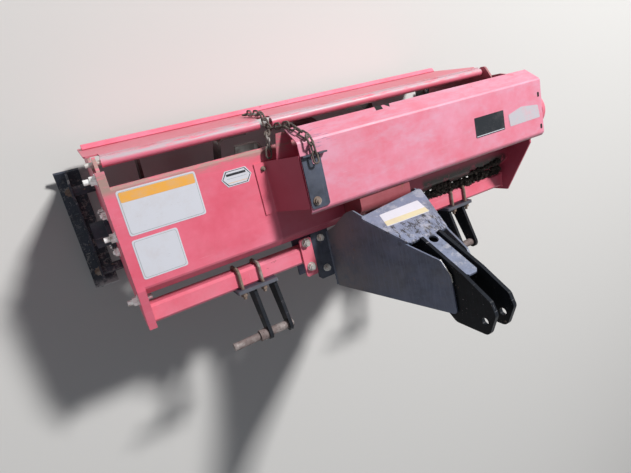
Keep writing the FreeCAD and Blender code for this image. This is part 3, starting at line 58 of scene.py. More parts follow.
# %% A socket that can be calculated with
class Value:
    """A socket of a node tree, with operators that add Math nodes."""

    def __init__(self, tree, socket):
        self.tree = tree
        self.socket = socket

    def _math(self, operation, *others):
        return self.tree.node("ShaderNodeMath", {"operation": operation}, self, *others)

    def __add__(self, other):
        return self._math("ADD", other)

    def __mul__(self, other):
        return self._math("MULTIPLY", other)

    def __sub__(self, other):
        return self._math("SUBTRACT", other)

    def __rsub__(self, other):
        return (self * -1.0) + other

    def power(self, exponent):
        return self._math("POWER", exponent)

    def largest(self, other):
        return self._math("MAXIMUM", other)

    def clamped(self):
        return self.tree.node("ShaderNodeClamp", {}, self)

    def above(self, edge, soft=0.05):
        """0 below the edge, 1 above it, with a soft step between."""
        settings = {"interpolation_type": "SMOOTHSTEP"}
        return self.tree.node("ShaderNodeMapRange", settings, self, edge - soft, edge + soft, 0.0, 1.0)

    def below(self, edge, soft=0.05):
        return 1.0 - self.above(edge, soft)


print("shader operators ready")

# %% [markdown]
# Every other node comes from one method: its type, its settings, then its inputs in order or by
# name. Patterns read Object coordinates, so that they stay on the metal from every view. The colour
# is kept with the tree and each effect lays one more tone over it.

# %% A material that is built in layers
MIX_FIRST, MIX_SECOND, MIX_RESULT = 6, 7, 2
BUMP_DEPTH = 0.002


class Finish:
    """A material's node tree: layers of colour, with a Principled shader at its end."""

    def __init__(self, name, colour):
        self.material = bpy.data.materials.new(name)
        self.material.use_nodes = True
        self.nodes = self.material.node_tree.nodes
        self.links = self.material.node_tree.links
        self.shader = self.nodes["Principled BSDF"]
        self.place = Value(self, self.nodes.new("ShaderNodeTexCoord").outputs["Object"])
        self.colour = colour

    def feed(self, socket, value):
        """Link a value to a socket, or set the socket to a plain number or vector."""
        if isinstance(value, Value):
            self.links.new(value.socket, socket)
        elif value is not None:
            socket.default_value = value

    def feed_colour(self, socket, colour):
        self.feed(socket, colour if isinstance(colour, Value) else (*colour, 1.0))

    def node(self, kind, settings, *inputs, **named):
        made = self.nodes.new(kind)
        for key, setting in settings.items():
            setattr(made, key, setting)
        for key, value in list(enumerate(inputs)) + list(named.items()):
            self.feed(made.inputs[key], value)
        return Value(self, made.outputs[0])

    def stretched(self, x, y, z, turn=0.0):
        """Object coordinates, stretched and turned, for patterns that run one way."""
        return self.node("ShaderNodeMapping", {}, self.place, Scale=(x, y, z), Rotation=(0.0, turn, turn))

    def noise(self, scale, detail=4.0, rough=0.6, where=None):
        where = where or self.place
        return self.node("ShaderNodeTexNoise", {}, Vector=where, Scale=scale, Detail=detail, Roughness=rough)

    def clouds(self, scale, edge, soft, detail=4.0, rough=0.6):
        """Patches where a noise rises above an edge."""
        return self.noise(scale, detail, rough).above(edge, soft)

    def streaks(self, run, edge, soft, detail=4.0, rough=0.7, turn=0.0):
        """Patches of a noise that is stretched along one direction."""
        return self.noise(1.0, detail, rough, self.stretched(*run, turn)).above(edge, soft)

    def mix(self, share, first, second):
        """A colour mix: first where share is 0, second where it is 1."""
        made = self.nodes.new("ShaderNodeMix")
        made.data_type = "RGBA"
        made.clamp_factor = True
        self.feed(made.inputs["Factor"], share)
        self.feed_colour(made.inputs[MIX_FIRST], first)
        self.feed_colour(made.inputs[MIX_SECOND], second)
        return Value(self, made.outputs[MIX_RESULT])

    def layer(self, share, tone):
        """Lay one more tone over the colour, by a share from 0 to 1."""
        self.colour = self.mix(share, self.colour, tone)

    def part_of(self, source, axis):
        split = self.nodes.new("ShaderNodeSeparateXYZ")
        self.links.new(source, split.inputs[0])
        return Value(self, split.outputs[axis])

    def upward(self):
        """1 on faces that look straight up and less on the others: where dust can lie."""
        return self.part_of(self.nodes.new("ShaderNodeNewGeometry").outputs["Normal"], "Z")

    def along(self, axis):
        """The place along one of the machine's axes: X across, Y back, Z up."""
        return self.part_of(self.place.socket, axis)

    def patch(self, axis, low, high, soft=0.006):
        """1 between two places along an axis, with soft ends."""
        place = self.along(axis)
        return place.above(low, soft) * place.below(high, soft)

    def finish(self, roughness, metallic=0.0, relief=None, strength=0.15, sheen=0.5):
        """Set the shader from the layers and the other values, and hand the material out."""
        self.feed_colour(self.shader.inputs["Base Color"], self.colour)
        self.feed(self.shader.inputs["Roughness"], roughness)
        self.feed(self.shader.inputs["Metallic"], metallic)
        self.feed(self.shader.inputs["Specular IOR Level"], sheen)
        if relief is not None:
            bump = self.node("ShaderNodeBump", {}, Strength=strength, Distance=BUMP_DEPTH, Height=relief)
            self.feed(self.shader.inputs["Normal"], bump)
        return self.material


def toned(colour, share, lift=0.0):
    """A darker or paler form of a colour."""
    return tuple(min(1.0, part * share + lift) for part in colour)


print("finish builder ready")

# %% [markdown]
# ## Paint
# The red paint has stood in the sun for years: it has bleached to a chalky coral, unevenly, and
# lost its gloss. Fine scratches show a lighter line, and chips show rust with a dark rim. Each of
# these is one function, so that all the reds wear in the same way.

# %% The wear of red paint
RUST, RUST_PALE = (0.16, 0.065, 0.03), (0.34, 0.17, 0.09)
# Lilac for the chalky haze, and for a painted sky reflection on the rear slopes.
CHALK_AND_SKY_LILAC = (0.72, 0.44, 0.58)


def bleach(f, bleached, bloom):
    """Broad fading, a chalky haze, a painted sky reflection in lilac behind Y 0.195, and long pale streaks.
    Gives the share that has faded.
    """
    faded = (f.noise(3.2, 5.0, 0.62) * 0.65 + f.noise(14.0, 6.0, 0.7) * 0.35).above(0.5, 0.16)
    f.layer(faded, bleached)
    haze = f.noise(7.0, 7.0, 0.75, f.stretched(0.7, 1.6, 1.0)).above(0.57, 0.12) * bloom
    # The lilac mottle behind Y 0.195 is a painted sky reflection; the haze is chalky paint.
    sky_mottle = f.streaks((14.0, 60.0, 60.0), 0.52, 0.06, 8.0, 0.8, turn=0.3)
    f.layer(haze + f.along("Y").above(0.195, 0.02) * sky_mottle * bloom, CHALK_AND_SKY_LILAC)
    lines = f.streaks((4.0, 70.0, 30.0), 0.66, 0.07, 6.0, 0.75, turn=0.12)
    f.layer(lines * 0.3, toned(bleached, 1.1, 0.05))
    return faded


def scratch(f, tone):
    """Fine scratches along and across the machine, in places. Gives their share."""
    fine = f.streaks((9.0, 420.0, 160.0), 0.72, 0.025, 3.0, 0.5, turn=0.5)
    crossing = f.streaks((380.0, 12.0, 90.0), 0.735, 0.02, 3.0, 0.5, turn=0.25)
    scratches = fine.largest(crossing) * f.clouds(6.0, 0.52, 0.1, 2.0)
    f.layer(scratches * 0.5, tone)
    return scratches


def chip(f, rim_tone, chips):
    """Chips down to the rust, each with a dark rim. Gives their share."""
    depth = f.noise(46.0, 8.0, 0.72) * 0.72 + f.clouds(5.0, 0.52, 0.12, 3.0, 0.6) * 0.2
    f.layer(depth.above(0.68 - 0.08 * chips, 0.02) * 0.5, rim_tone)
    chipped = depth.above(0.70 - 0.08 * chips, 0.02)
    f.layer(chipped, f.mix(f.noise(160.0, 4.0), RUST, RUST_PALE))
    return chipped


print("chips show", RUST, "to", RUST_PALE)

# %% [markdown]
# What lies on the paint follows the machine: grey dust towards the tail gate and soil on the deck's
# lip, the soil's dark partly painted shade. Right of the drive cover's left end, under the cover and
# the mast, the red is darker: painted shade. The drive cover has marks of its own: darker patches along
# its front lip, a place rubbed by the lift chain, and painted shade on its rear slope.

# %% Dust, soil and shade on red paint
DUST, PACKED_SOIL_AND_SHADE, LIP_DARK = (0.36, 0.31, 0.29), (0.030, 0.024, 0.021), (0.14, 0.10, 0.09)
PAINTED_SHADE_RED, PAINTED_SHADE_SLOPE = (0.25, 0.03, 0.06), (0.50, 0.12, 0.18)
RUBBED_LILAC = (0.22, 0.19, 0.30)
COVER_LIP, COVER_SLOPE = 0.0175, 0.2005
GATE_DUST_LOW = 0.378


def dust_rear(f, share, tone=(0.58, 0.45, 0.50), edge=0.186, soft=0.014, low=None):
    """Streaky dust behind an edge, thick on faces that look up; with low, only above that height."""
    back = f.along("Y").above(edge, soft) * f.streaks((9.0, 55.0, 55.0), 0.46, 0.09, 8.0, 0.8)
    back = back * share * (f.upward().above(0.15, 0.3) * 0.85 + 0.15)
    if low:
        back = back * f.along("Z").above(low, 0.006)
    f.layer(back, tone)


def pack_soil(f):
    """Soil on the deck's lip, where the drive cover keeps the rain off; its near-black is partly painted
    shade.
    """
    packed = f.patch("X", 0.25, 0.640, 0.008) * f.along("Y").below(-0.028, 0.012)
    packed = packed * f.patch("Z", 0.428, 0.470, 0.003) * f.clouds(34.0, 0.40, 0.08, 8.0, 0.75)
    f.layer(packed, PACKED_SOIL_AND_SHADE)


def mark_cover(f):
    """The drive cover's own marks."""
    # Darker patches along the cover's front lip.
    f.layer(f.along("Y").below(COVER_LIP, 0.003) * f.clouds(26.0, 0.4, 0.15, 6.0, 0.7) * 0.7, LIP_DARK)
    rubbed = f.patch("X", -0.190, -0.100, 0.02) * f.patch("Y", 0.176, 0.222, 0.01)
    f.layer(rubbed * f.streaks((16.0, 120.0, 120.0), 0.56, 0.04, turn=0.25) * 0.8, RUBBED_LILAC)
    # Painted shade on the cover's rear slope, which faces the sun lamp.
    f.layer(f.along("Y").above(COVER_SLOPE, 0.001) * 0.35, PAINTED_SHADE_SLOPE)


def weathered_paint(name, fresh, bleached, dust, chips, gloss, bloom=0.0, rear=None, painted_shade=None,
                    is_cover=False):
    """Red paint: rear is what dust_rear takes, painted_shade the left edge of a painted shade and its share.
    """
    f = Finish(name, fresh)
    faded = bleach(f, bleached, bloom)
    scratches = scratch(f, toned(bleached, 0.8, 0.2))
    chipped = chip(f, toned(fresh, 0.42), chips)
    if rear:
        dust_rear(f, **rear)
    settled = f.upward().above(0.55, 0.3) * f.clouds(9.0, 0.62 - 0.22 * dust, 0.2, 8.0, 0.75) * dust
    f.layer(settled, DUST)
    if painted_shade:
        edge, share = painted_shade
        # Darker red right of the edge: painted shade.
        f.layer(f.along("X").above(edge, 0.004) * share, PAINTED_SHADE_RED)
    pack_soil(f)
    if is_cover:
        mark_cover(f)
    roughness = (faded * 0.14 + settled * 0.3 + chipped * 0.35 + gloss).clamped()
    relief = f.noise(240.0, 3.0) * 0.25 - chipped * 0.8 - scratches * 0.3
    return f.finish(roughness, relief=relief, strength=0.22)


REDS = {
    "cover_pink": weathered_paint(
        "cover_paint", (0.77, 0.185, 0.265), (0.80, 0.34, 0.47), dust=0.10, chips=0.1, gloss=0.40,
        bloom=0.5, is_cover=True),
    "faded_red": weathered_paint(
        "frame_paint", (0.78, 0.125, 0.19), (0.86, 0.21, 0.30), dust=0.15, chips=0.3, gloss=0.38,
        bloom=0.15, rear={"share": 0.75}),
    "deck_red": weathered_paint(
        "deck_paint", (0.73, 0.105, 0.17), (0.84, 0.18, 0.27), dust=0.10, chips=0.2, gloss=0.38,
        bloom=0.1, rear={"share": 0.9, "tone": (0.34, 0.26, 0.22)}, painted_shade=(-0.262, 0.5)),
    "gate_tube": weathered_paint(
        "gate_tube_paint", (0.80, 0.13, 0.20), (0.86, 0.21, 0.32), dust=0.1, chips=0.3, gloss=0.38,
        bloom=0.1, rear={"share": 1.0, "tone": (0.52, 0.42, 0.47), "edge": 0.261, "soft": 0.004,
                         "low": GATE_DUST_LOW}),
    # The gate panel's red is darker than the tube's: painted shade where it shows through the gap.
    "gate_panel": weathered_paint(
        "gate_panel_shaded_paint", (0.60, 0.11, 0.15), (0.68, 0.19, 0.26), dust=0.15, chips=0.3, gloss=0.42,
        bloom=0.08, rear={"share": 0.9, "edge": 0.267, "soft": 0.003, "low": GATE_DUST_LOW}),
    # The end panel darkens right of its edge: painted shade.
    "end_panel": weathered_paint(
        "end_panel_shaded_paint", (0.73, 0.105, 0.17), (0.84, 0.18, 0.27), dust=0.1, chips=0.2, gloss=0.40,
        painted_shade=(-0.2625, 0.6)),
    # The casting's red is made dark: painted shade under the drive cover.
    "cast_red": weathered_paint(
        "casting_shaded_paint", (0.27, 0.045, 0.06), (0.36, 0.09, 0.11), dust=0.1, chips=0.8, gloss=0.5),
}
print("reds", sorted(REDS))

# %% [markdown]
# ## Black paint
# The headstock, arms and skids are black. The paint has a blue-grey bloom, long pale scratches from the
# drive shaft and chains, and dry earth low down. The bloom's blue tint is partly painted sky light, and
# faces that look up get a painted sky sheen. The mast stands in the shade; its paint is made nearly
# black, a painted shade.

# %% The bloom and wear of black paint
# The blue in these tones is partly painted sky light; the sheen colour is a painted sky reflection.
BLOOM_AND_SKY_BLUE, PAINTED_SKY_SHEEN, BRUSHED_AND_SKY_BLUE = (0.17, 0.215, 0.33), (0.24, 0.28, 0.40), (0.17, 0.21, 0.30)
DRIED_AND_SKY_GREY, STAIN_BLACK = (0.15, 0.16, 0.18), (0.008, 0.009, 0.012)
SCRATCH_GREY, DULL_GREY = (0.42, 0.42, 0.46), (0.62, 0.62, 0.66)


def bloom_black(f, bloom):
    """Blue-grey bloom, dried water, brushed lines and stains, their blue partly painted sky light, and a
    painted sky sheen on faces that look up. Gives the share that has bloomed.
    """
    bloomed = f.clouds(5.0, 0.5, 0.2, 7.0, 0.68) * bloom
    f.layer(bloomed, BLOOM_AND_SKY_BLUE)
    f.layer(f.noise(6.0, 6.0, 0.7, f.stretched(1.0, 1.0, 0.6)).above(0.52, 0.1) * bloom, DRIED_AND_SKY_GREY)
    f.layer(f.streaks((30.0, 12.0, 200.0), 0.55, 0.08, turn=0.2) * bloom * 0.5, BRUSHED_AND_SKY_BLUE)
    f.layer(f.clouds(13.0, 0.63, 0.03, 5.0, 0.65) * bloom, STAIN_BLACK)
    # Faces that look up get a painted sky sheen.
    sky_sheen = f.upward().above(0.25, 0.3) * f.clouds(11.0, 0.42, 0.22, 7.0, 0.7) * bloom
    f.layer((sky_sheen * 0.85).clamped(), PAINTED_SKY_SHEEN)
    return bloomed


def scratch_black(f):
    """Scratches along and across."""
    fine = f.streaks((14.0, 330.0, 120.0), 0.715, 0.02, 3.0, 0.5, turn=0.6)
    crossing = f.streaks((300.0, 16.0, 60.0), 0.725, 0.02, 3.0, 0.5, turn=0.3)
    f.layer(fine.largest(crossing) * f.clouds(7.0, 0.5, 0.1, 2.0) * 0.6, SCRATCH_GREY)


def scuff_plate(f):
    """Dark lines across the back plate's slope, where its sticker has worn, and dull patches."""
    lines = f.streaks((90.0, 40.0, 40.0), 0.535, 0.02, 5.0, 0.85, turn=0.9)
    f.layer(f.patch("Z", 0.635, 0.715, 0.02) * lines, (0.015, 0.014, 0.014))
    f.layer(f.clouds(24.0, 0.55, 0.06, 7.0, 0.8) * 0.35, DULL_GREY)


print("bloom", BLOOM_AND_SKY_BLUE, "to", PAINTED_SKY_SHEEN)

# %% [markdown]
# Earth keeps to two heights: dust round the headstock's feet, and mud low on the skids. The skids'
# toes are pale grey: caked earth, and partly a painted highlight for the sun on them.

# %% Black finishes with their earth
FOOT_DUST, DRY_EARTH, TOE_EARTH_AND_SUN = (0.27, 0.245, 0.24), (0.52, 0.49, 0.48), (0.60, 0.60, 0.61)
TOE_BACK = -0.098


def black_paint(name, bloom, earth, gloss, sheen=0.4, base=(0.010, 0.011, 0.015), scuffed=False,
                pale_toe=False):
    f = Finish(name, base)
    bloomed = bloom_black(f, bloom)
    scratch_black(f)
    if scuffed:
        scuff_plate(f)
    feet = f.along("Z").below(0.53, 0.06) * f.along("Z").above(0.432, 0.008) * bloom
    f.layer(feet * f.clouds(9.0, 0.42, 0.12, 7.0, 0.7), FOOT_DUST)
    bare = (f.noise(42.0, 8.0, 0.74) * 0.75 + f.noise(4.0) * 0.2).above(0.6, 0.02)
    f.layer(bare, f.mix(f.noise(130.0), RUST, (0.32, 0.28, 0.26)))
    low = f.along("Z").below(0.17, 0.09) * f.clouds(60.0, 0.57, 0.05, 8.0, 0.8)
    low = low * f.clouds(9.0, 0.42, 0.14) * earth
    f.layer(low, DRY_EARTH)
    if pale_toe:
        # Pale toes: caked earth, and partly a painted highlight.
        f.layer(f.along("Y").below(TOE_BACK, 0.010) * f.clouds(30.0, 0.40, 0.1, 6.0, 0.7), TOE_EARTH_AND_SUN)
    roughness = (bloomed * 0.2 + low * 0.4 + bare * 0.3 + gloss).clamped()
    relief = f.noise(210.0, 3.0) * 0.3 - bare * 0.7 + low * 0.5
    return f.finish(roughness, relief=relief, strength=0.25, sheen=sheen)


BLACK = black_paint("headstock_paint", bloom=0.75, earth=0.3, gloss=0.34)
# Less bloom for the bracket, feet and pads: painted shade.
BRACKET_SHADE_BLACK = black_paint("bracket_painted_shade", bloom=0.22, earth=0.2, gloss=0.32, sheen=0.3)
# Nearly black with little sheen for the mast, arms and drive tube: painted shade.
PAINTED_SHADE_BLACK = black_paint(
    "mast_painted_shade", bloom=0.03, earth=0.2, gloss=0.30, sheen=0.08, base=(0.004, 0.005, 0.006))
SKID_BLACK = black_paint("skid_paint", bloom=0.12, earth=0.9, gloss=0.5, sheen=0.25, pale_toe=True)
# The back plate's full bloom is partly a painted sky sheen.
PLATE_BLACK = black_paint("back_plate_paint_and_sheen", bloom=1.0, earth=0.0, gloss=0.3, scuffed=True)
print("blacks", [m.name for m in (BLACK, BRACKET_SHADE_BLACK, PAINTED_SHADE_BLACK, SKID_BLACK, PLATE_BLACK)])

# %% [markdown]
# ## Bare and rusty steel
# The pins, U-bolts and chains rust evenly, with darker pits. The tines are polished by the soil,
# with soil and rust in the lows. Zinc-plated bolts stay silvery; the left end's studs stand in the
# plate's shade and are painted paler still, a painted highlight.

# %% Rusty and plated steel
POLISHED = (0.46, 0.43, 0.42)
TARNISH = (0.33, 0.2, 0.12)


def rusty_steel(name, dark, pale, shine):
    f = Finish(name, dark)
    f.layer(f.clouds(38.0, 0.5, 0.2, 8.0, 0.75), pale)
    pits = f.noise(190.0, 5.0, 0.7)
    f.layer(pits.above(0.62, 0.06), toned(dark, 0.4))
    rubbed = f.clouds(16.0, 0.6, 0.08, 5.0) * shine
    f.layer(rubbed, POLISHED)
    return f.finish((0.8 - rubbed * 0.38).clamped(), (rubbed * 0.8).clamped(), pits, 0.35)


def plated_steel(name, pale, dull):
    f = Finish(name, pale)
    tone = f.noise(60.0, 6.0, 0.7)
    f.layer(tone.above(0.55, 0.1), dull)
    tarnish = f.clouds(24.0, 0.63, 0.05, 6.0, 0.75)
    f.layer(tarnish, TARNISH)
    return f.finish((tarnish * 0.35 + 0.36).clamped(), (0.35 - tarnish * 0.3).clamped(), tone, 0.1)


RUSTY = rusty_steel("rusty_rod", (0.17, 0.11, 0.085), (0.30, 0.235, 0.19), 0.5)
CHAIN_STEEL = rusty_steel("chain_steel", (0.065, 0.052, 0.048), (0.18, 0.14, 0.12), 0.6)
PIN_STEEL = rusty_steel("pin_steel", (0.12, 0.085, 0.08), (0.26, 0.215, 0.21), 0.8)
PLATED = plated_steel("plated_bolt", (0.62, 0.61, 0.59), (0.42, 0.39, 0.35))
# The studs' paler plating is a painted highlight: they stand in the plate's shade.
PAINTED_HIGHLIGHT_STUD = plated_steel("plated_stud_highlight", (0.92, 0.92, 0.93), (0.62, 0.61, 0.60))
print("steels", [m.name for m in (RUSTY, CHAIN_STEEL, PIN_STEEL, PLATED, PAINTED_HIGHLIGHT_STUD)])

# %% [markdown]
# A tine is black near its flange and bare towards its tip, so its finish measures how far each
# spot is from the rotor's axis. The input shaft is bare steel all over.

# %% Steel polished by soil and use
ROTOR_PLACE = (0.072, 0.217)
BARE_FROM = 0.192


def worn_steel(name):
    f = Finish(name, (0.42, 0.40, 0.39))
    f.layer(f.clouds(22.0, 0.5, 0.2, 7.0, 0.7), (0.27, 0.23, 0.20))
    soil = f.clouds(13.0, 0.55, 0.1, 8.0, 0.8)
    f.layer(soil, (0.17, 0.11, 0.075))
    lines = f.noise(1.0, 3.0, 0.5, f.stretched(20.0, 240.0, 240.0))
    return f.finish((soil * 0.4 + lines * 0.2 + 0.3).clamped(), (0.9 - soil * 0.8).clamped(), lines, 0.2)


def tine_steel(name):
    """Near-black near the rotor's axis, rubbed to bare steel towards the tips."""
    f = Finish(name, (0.020, 0.020, 0.022))
    across = f.along("Y") - ROTOR_PLACE[0]
    upward = f.along("Z") - ROTOR_PLACE[1]
    reach = (across * across + upward * upward).power(0.5)
    noise = f.noise(45.0, 6.0, 0.7)
    rubbed = (reach + noise * 0.05).above(BARE_FROM, 0.03)
    rust = f.clouds(28.0, 0.58, 0.08, 7.0, 0.75)
    f.layer(rust, (0.10, 0.055, 0.035))
    f.layer(rubbed, (0.34, 0.32, 0.31))
    return f.finish((rust * 0.3 + 0.42).clamped(), (rubbed * 0.85).clamped(), noise, 0.2)


WORN = worn_steel("soil_polished_steel")
TINE_STEEL = tine_steel("tine_steel")
print("polished steels", [m.name for m in (WORN, TINE_STEEL)])

# %% [markdown]
# ## Finishes on the solids
# Each solid takes the finish of its slot in the record. Some take a closer match by name: the mast,
# the arms and the drive tube are darker than the headstock's sides, and the feet, pads and bracket have
# less bloom, both painted shade; the back plate has the most bloom, partly a painted sky sheen; and the
# skids are caked with dry earth, their toes pale, partly with a painted highlight.

# %% Give each solid its finish
SLOT_FINISH = dict(REDS)
SLOT_FINISH.update(black_paint=BLACK, worn_steel=WORN, rusty_steel=RUSTY, plated_steel=PLATED)
CLOSER_MATCHES = (
    (REDS["end_panel"], "cover_end_panel"),
    (REDS["gate_tube"], "tailgate_tube tailgate_rib"),
    (REDS["gate_panel"], "tailgate_panel"),
    (BRACKET_SHADE_BLACK, "chain_bracket headstock_foot_left headstock_foot_right hitch_pad_left hitch_pad_right"),
    (PAINTED_SHADE_BLACK, "mast_ear_left mast_ear_right hitch_arms_left hitch_arms_right drive_tube"),
    (PLATE_BLACK, "headstock_back"),
    (SKID_BLACK, "skid_left skid_right skid_spacers_left skid_spacers_right left_bearing"),
    (TINE_STEEL, "tines rotor"),
    (PIN_STEEL, "hitch_pin_left hitch_pin_right"),
    (CHAIN_STEEL, "lift_chain deck_chain tailgate_chain"),
)
FINISH_OF = {name: finish for finish, names in CLOSER_MATCHES for name in names.split()}
SLOT_OF = {row["node"]: row["material_slot"] for row in frame["record"]["subparts"]}
for name, solid in NODES.items():
    solid.data.materials.clear()
    solid.data.materials.append(FINISH_OF.get(name) or SLOT_FINISH[SLOT_OF[name]])
print("finished solids", len(NODES), "closer matches", len(FINISH_OF))

# %% [markdown]
# ## Trees of geometry nodes
# What repeats is built by Geometry Nodes: one shape, copied to many points, then turned into a
# plain mesh by Realize Instances. These helpers make a tree with named inputs, add a node with its
# links, and close the tree with the material.

# %% Helpers for trees
def geometry_tree(name, inputs):
    tree = bpy.data.node_groups.new(name, "GeometryNodeTree")
    tree.interface.new_socket("Geometry", in_out="INPUT", socket_type="NodeSocketGeometry")
    for label, value in inputs.items():
        socket = tree.interface.new_socket(label, in_out="INPUT", socket_type="NodeSocketFloat")
        socket.default_value = value
    tree.interface.new_socket("Geometry", in_out="OUTPUT", socket_type="NodeSocketGeometry")
    tree.nodes.new("NodeGroupOutput")
    return tree, tree.nodes.new("NodeGroupInput").outputs


def add(tree, kind, settings=None, links=None, values=None):
    """A node with its settings, its linked sockets and its plain values."""
    made = tree.nodes.new(kind)
    for key, setting in (settings or {}).items():
        setattr(made, key, setting)
    for key, value in (values or {}).items():
        made.inputs[key].default_value = value
    for key, source in (links or {}).items():
        tree.links.new(source, made.inputs[key])
    return made


def attribute(tree, name, kind="FLOAT_VECTOR"):
    """What a point of the table carries under a name."""
    made = add(tree, "GeometryNodeInputNamedAttribute", {"data_type": kind}, None, {"Name": name})
    return made.outputs["Attribute"]


def copied(tree, points, shape, links):
    """Copies of a shape on points, made real."""
    sources = {"Points": points, "Instance": shape}
    copies = add(tree, "GeometryNodeInstanceOnPoints", None, {**sources, **links})
    return add(tree, "GeometryNodeRealizeInstances", None, {"Geometry": copies.outputs[0]})


def closed(tree, last):
    """The tree with its last two nodes: the material and the output."""
    setter = add(tree, "GeometryNodeSetMaterial", None, {"Geometry": last.outputs[0]})
    tree.links.new(setter.outputs[0], tree.nodes["Group Output"].inputs["Geometry"])
    return tree, setter


print("tree helpers ready")

# %% [markdown]
# A tree works on a table: a mesh of points that carry a direction, or of lines. One function runs
# the tree and keeps only the plain mesh that comes out, because the export knows nothing of
# modifiers on points.

# %% Tables, and a tree run on a table
SPIN_STEP, FULL_TURN = 7.3, 6.28


def points_mesh(name, rows):
    """Points with a direction each: rows of (x, y, z), (direction)."""
    mesh = bpy.data.meshes.new(name)
    mesh.from_pydata([place for place, _ in rows], [], [])
    way = mesh.attributes.new("way", "FLOAT_VECTOR", "POINT")
    way.data.foreach_set("vector", [part for _, direction in rows for part in direction])
    spin = mesh.attributes.new("spin", "FLOAT", "POINT")
    spin.data.foreach_set("value", [(SPIN_STEP * index) % FULL_TURN for index in range(len(rows))])
    return mesh


def lines_mesh(name, lines):
    """Separate straight lines, each given by its two ends."""
    mesh = bpy.data.meshes.new(name)
    edges = [(2 * index, 2 * index + 1) for index in range(len(lines))]
    mesh.from_pydata([end for line in lines for end in line], edges, [])
    return mesh


def run_tree(name, tree, setter, mesh, inputs, body, material):
    """The evaluated result of a tree on a table, as a plain piece riding on a body."""
    setter.inputs["Material"].default_value = material
    carrier = bpy.data.objects.new(name + "_points", mesh)
    bpy.context.scene.collection.objects.link(carrier)
    modifier = carrier.modifiers.new("tree", "NODES")
    modifier.node_group = tree
    identifiers = {item.name: item.identifier for item in tree.interface.items_tree if item.in_out == "INPUT"}
    for label, value in inputs.items():
        modifier[identifiers[label]] = value
    evaluated = carrier.evaluated_get(bpy.context.evaluated_depsgraph_get())
    result = bpy.data.meshes.new_from_object(evaluated)
    result.materials.clear()
    result.materials.append(material)
    bpy.data.objects.remove(carrier)
    piece = bpy.data.objects.new(name, result)
    bpy.context.scene.collection.objects.link(piece)
    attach(piece, body)
    print(name, len(result.polygons), "faces")
    return piece


print("table spin step", SPIN_STEP)

# %% [markdown]
# ## Bolts
# A hexagon head, its washer and the end of its thread are the same on every bolt, so one tree
# stacks three cylinders from the bolt's sizes. Each point of the table gives the direction of its
# bolt and how far it is turned, because no two nuts stop at the same angle.

# %% A tree that builds a hexagon bolt on every point
WASHER_SIDES, HEAD_SIDES, THREAD_SIDES = 20, 6, 10


def bolt_sizes(head, height, washer, thread, length=0.004):
    """Radii of head, washer and thread, the head's height and the thread's length above it."""
    return {"Head Radius": head, "Head Height": height, "Washer Radius": washer,
            "Washer Height": 0.0022, "Thread Radius": thread, "Thread Length": length}


def bolt_tree(sizes):
    tree, start = geometry_tree("hexagon_bolt", sizes)
    joined = add(tree, "GeometryNodeJoinGeometry")
    under = None
    for label, size, sides in (
        ("Washer", "Washer Height", WASHER_SIDES),
        ("Head", "Head Height", HEAD_SIDES),
        ("Thread", "Thread Length", THREAD_SIDES),
    ):
        links = {"Radius": start[label + " Radius"], "Depth": start[size]}
        body = add(tree, "GeometryNodeMeshCylinder", {"fill_type": "NGON"}, links, {"Vertices": sides})
        middle = add(tree, "ShaderNodeMath", {"operation": "MULTIPLY_ADD"}, {0: start[size]},
                     {1: 0.5, 2: 0.0})
        top = add(tree, "ShaderNodeMath", {"operation": "ADD"}, {0: start[size]}, {1: 0.0})
        if under is not None:
            tree.links.new(under, middle.inputs[2])
            tree.links.new(under, top.inputs[1])
        under = top.outputs[0]
        place = add(tree, "ShaderNodeCombineXYZ", None, {"Z": middle.outputs[0]})
        links = {"Geometry": body.outputs["Mesh"], "Translation": place.outputs[0]}
        moved = add(tree, "GeometryNodeTransform", None, links)
        tree.links.new(moved.outputs["Geometry"], joined.inputs[0])
    turn = add(tree, "FunctionNodeAlignRotationToVector", {"axis": "Z"}, {"Vector": attribute(tree, "way")})
    twist = add(tree, "FunctionNodeAxisAngleToRotation", None, {"Angle": attribute(tree, "spin", "FLOAT")},
                {"Axis": (0.0, 0.0, 1.0)})
    links = {"Rotation": turn.outputs[0], "Rotate By": twist.outputs[0]}
    both = add(tree, "FunctionNodeRotateRotation", {"rotation_space": "LOCAL"}, links)
    real = copied(tree, start["Geometry"], joined.outputs[0], {"Rotation": both.outputs[0]})
    return closed(tree, real)


def bolts(name, rows, sizes, steel=PLATED):
    tree, setter = bolt_tree(sizes)
    return run_tree(name, tree, setter, points_mesh(name + "_table", rows), sizes, "frame", steel)


print("bolt sides", WASHER_SIDES, HEAD_SIDES, THREAD_SIDES)

# %% [markdown]
# The bolts of the front tube follow the photo: two through each foot and each strap, and four nuts
# on each side's U-bolts. They share the hitch's middle and the top of its feet.

# %% Bolts and nuts on the front tube
HITCH_X = 0.036
FOOT_TOP = 0.426
STRAP_OUT, FOOT_OUT = 0.220, 0.171
PAD_FRONT = -0.166
UP, FRONT, LEFT, RIGHT = (0.0, 0.0, 1.0), (0.0, -1.0, 0.0), (-1.0, 0.0, 0.0), (1.0, 0.0, 0.0)

strap_rows = [((HITCH_X + side * STRAP_OUT, y, FOOT_TOP), UP) for side in (-1, 1) for y in (-0.168, -0.094)]
foot_rows = [((HITCH_X + side * FOOT_OUT, y, FOOT_TOP), UP) for side in (-1, 1) for y in (-0.190, -0.094)]
bolts("strap_bolts", strap_rows, bolt_sizes(0.0112, 0.010, 0.0132, 0.0062))
bolts("foot_bolts", foot_rows, bolt_sizes(0.0100, 0.008, 0.0112, 0.0055))

u_bolt_rows = [((x, PAD_FRONT, z), FRONT) for x in (-0.401, -0.340, 0.396, 0.456) for z in (0.365, 0.425)]
bolts("u_bolt_nuts", u_bolt_rows, bolt_sizes(0.0098, 0.009, 0.012, 0.005), RUSTY)
print("front tube bolts", len(strap_rows) + len(foot_rows) + len(u_bolt_rows))

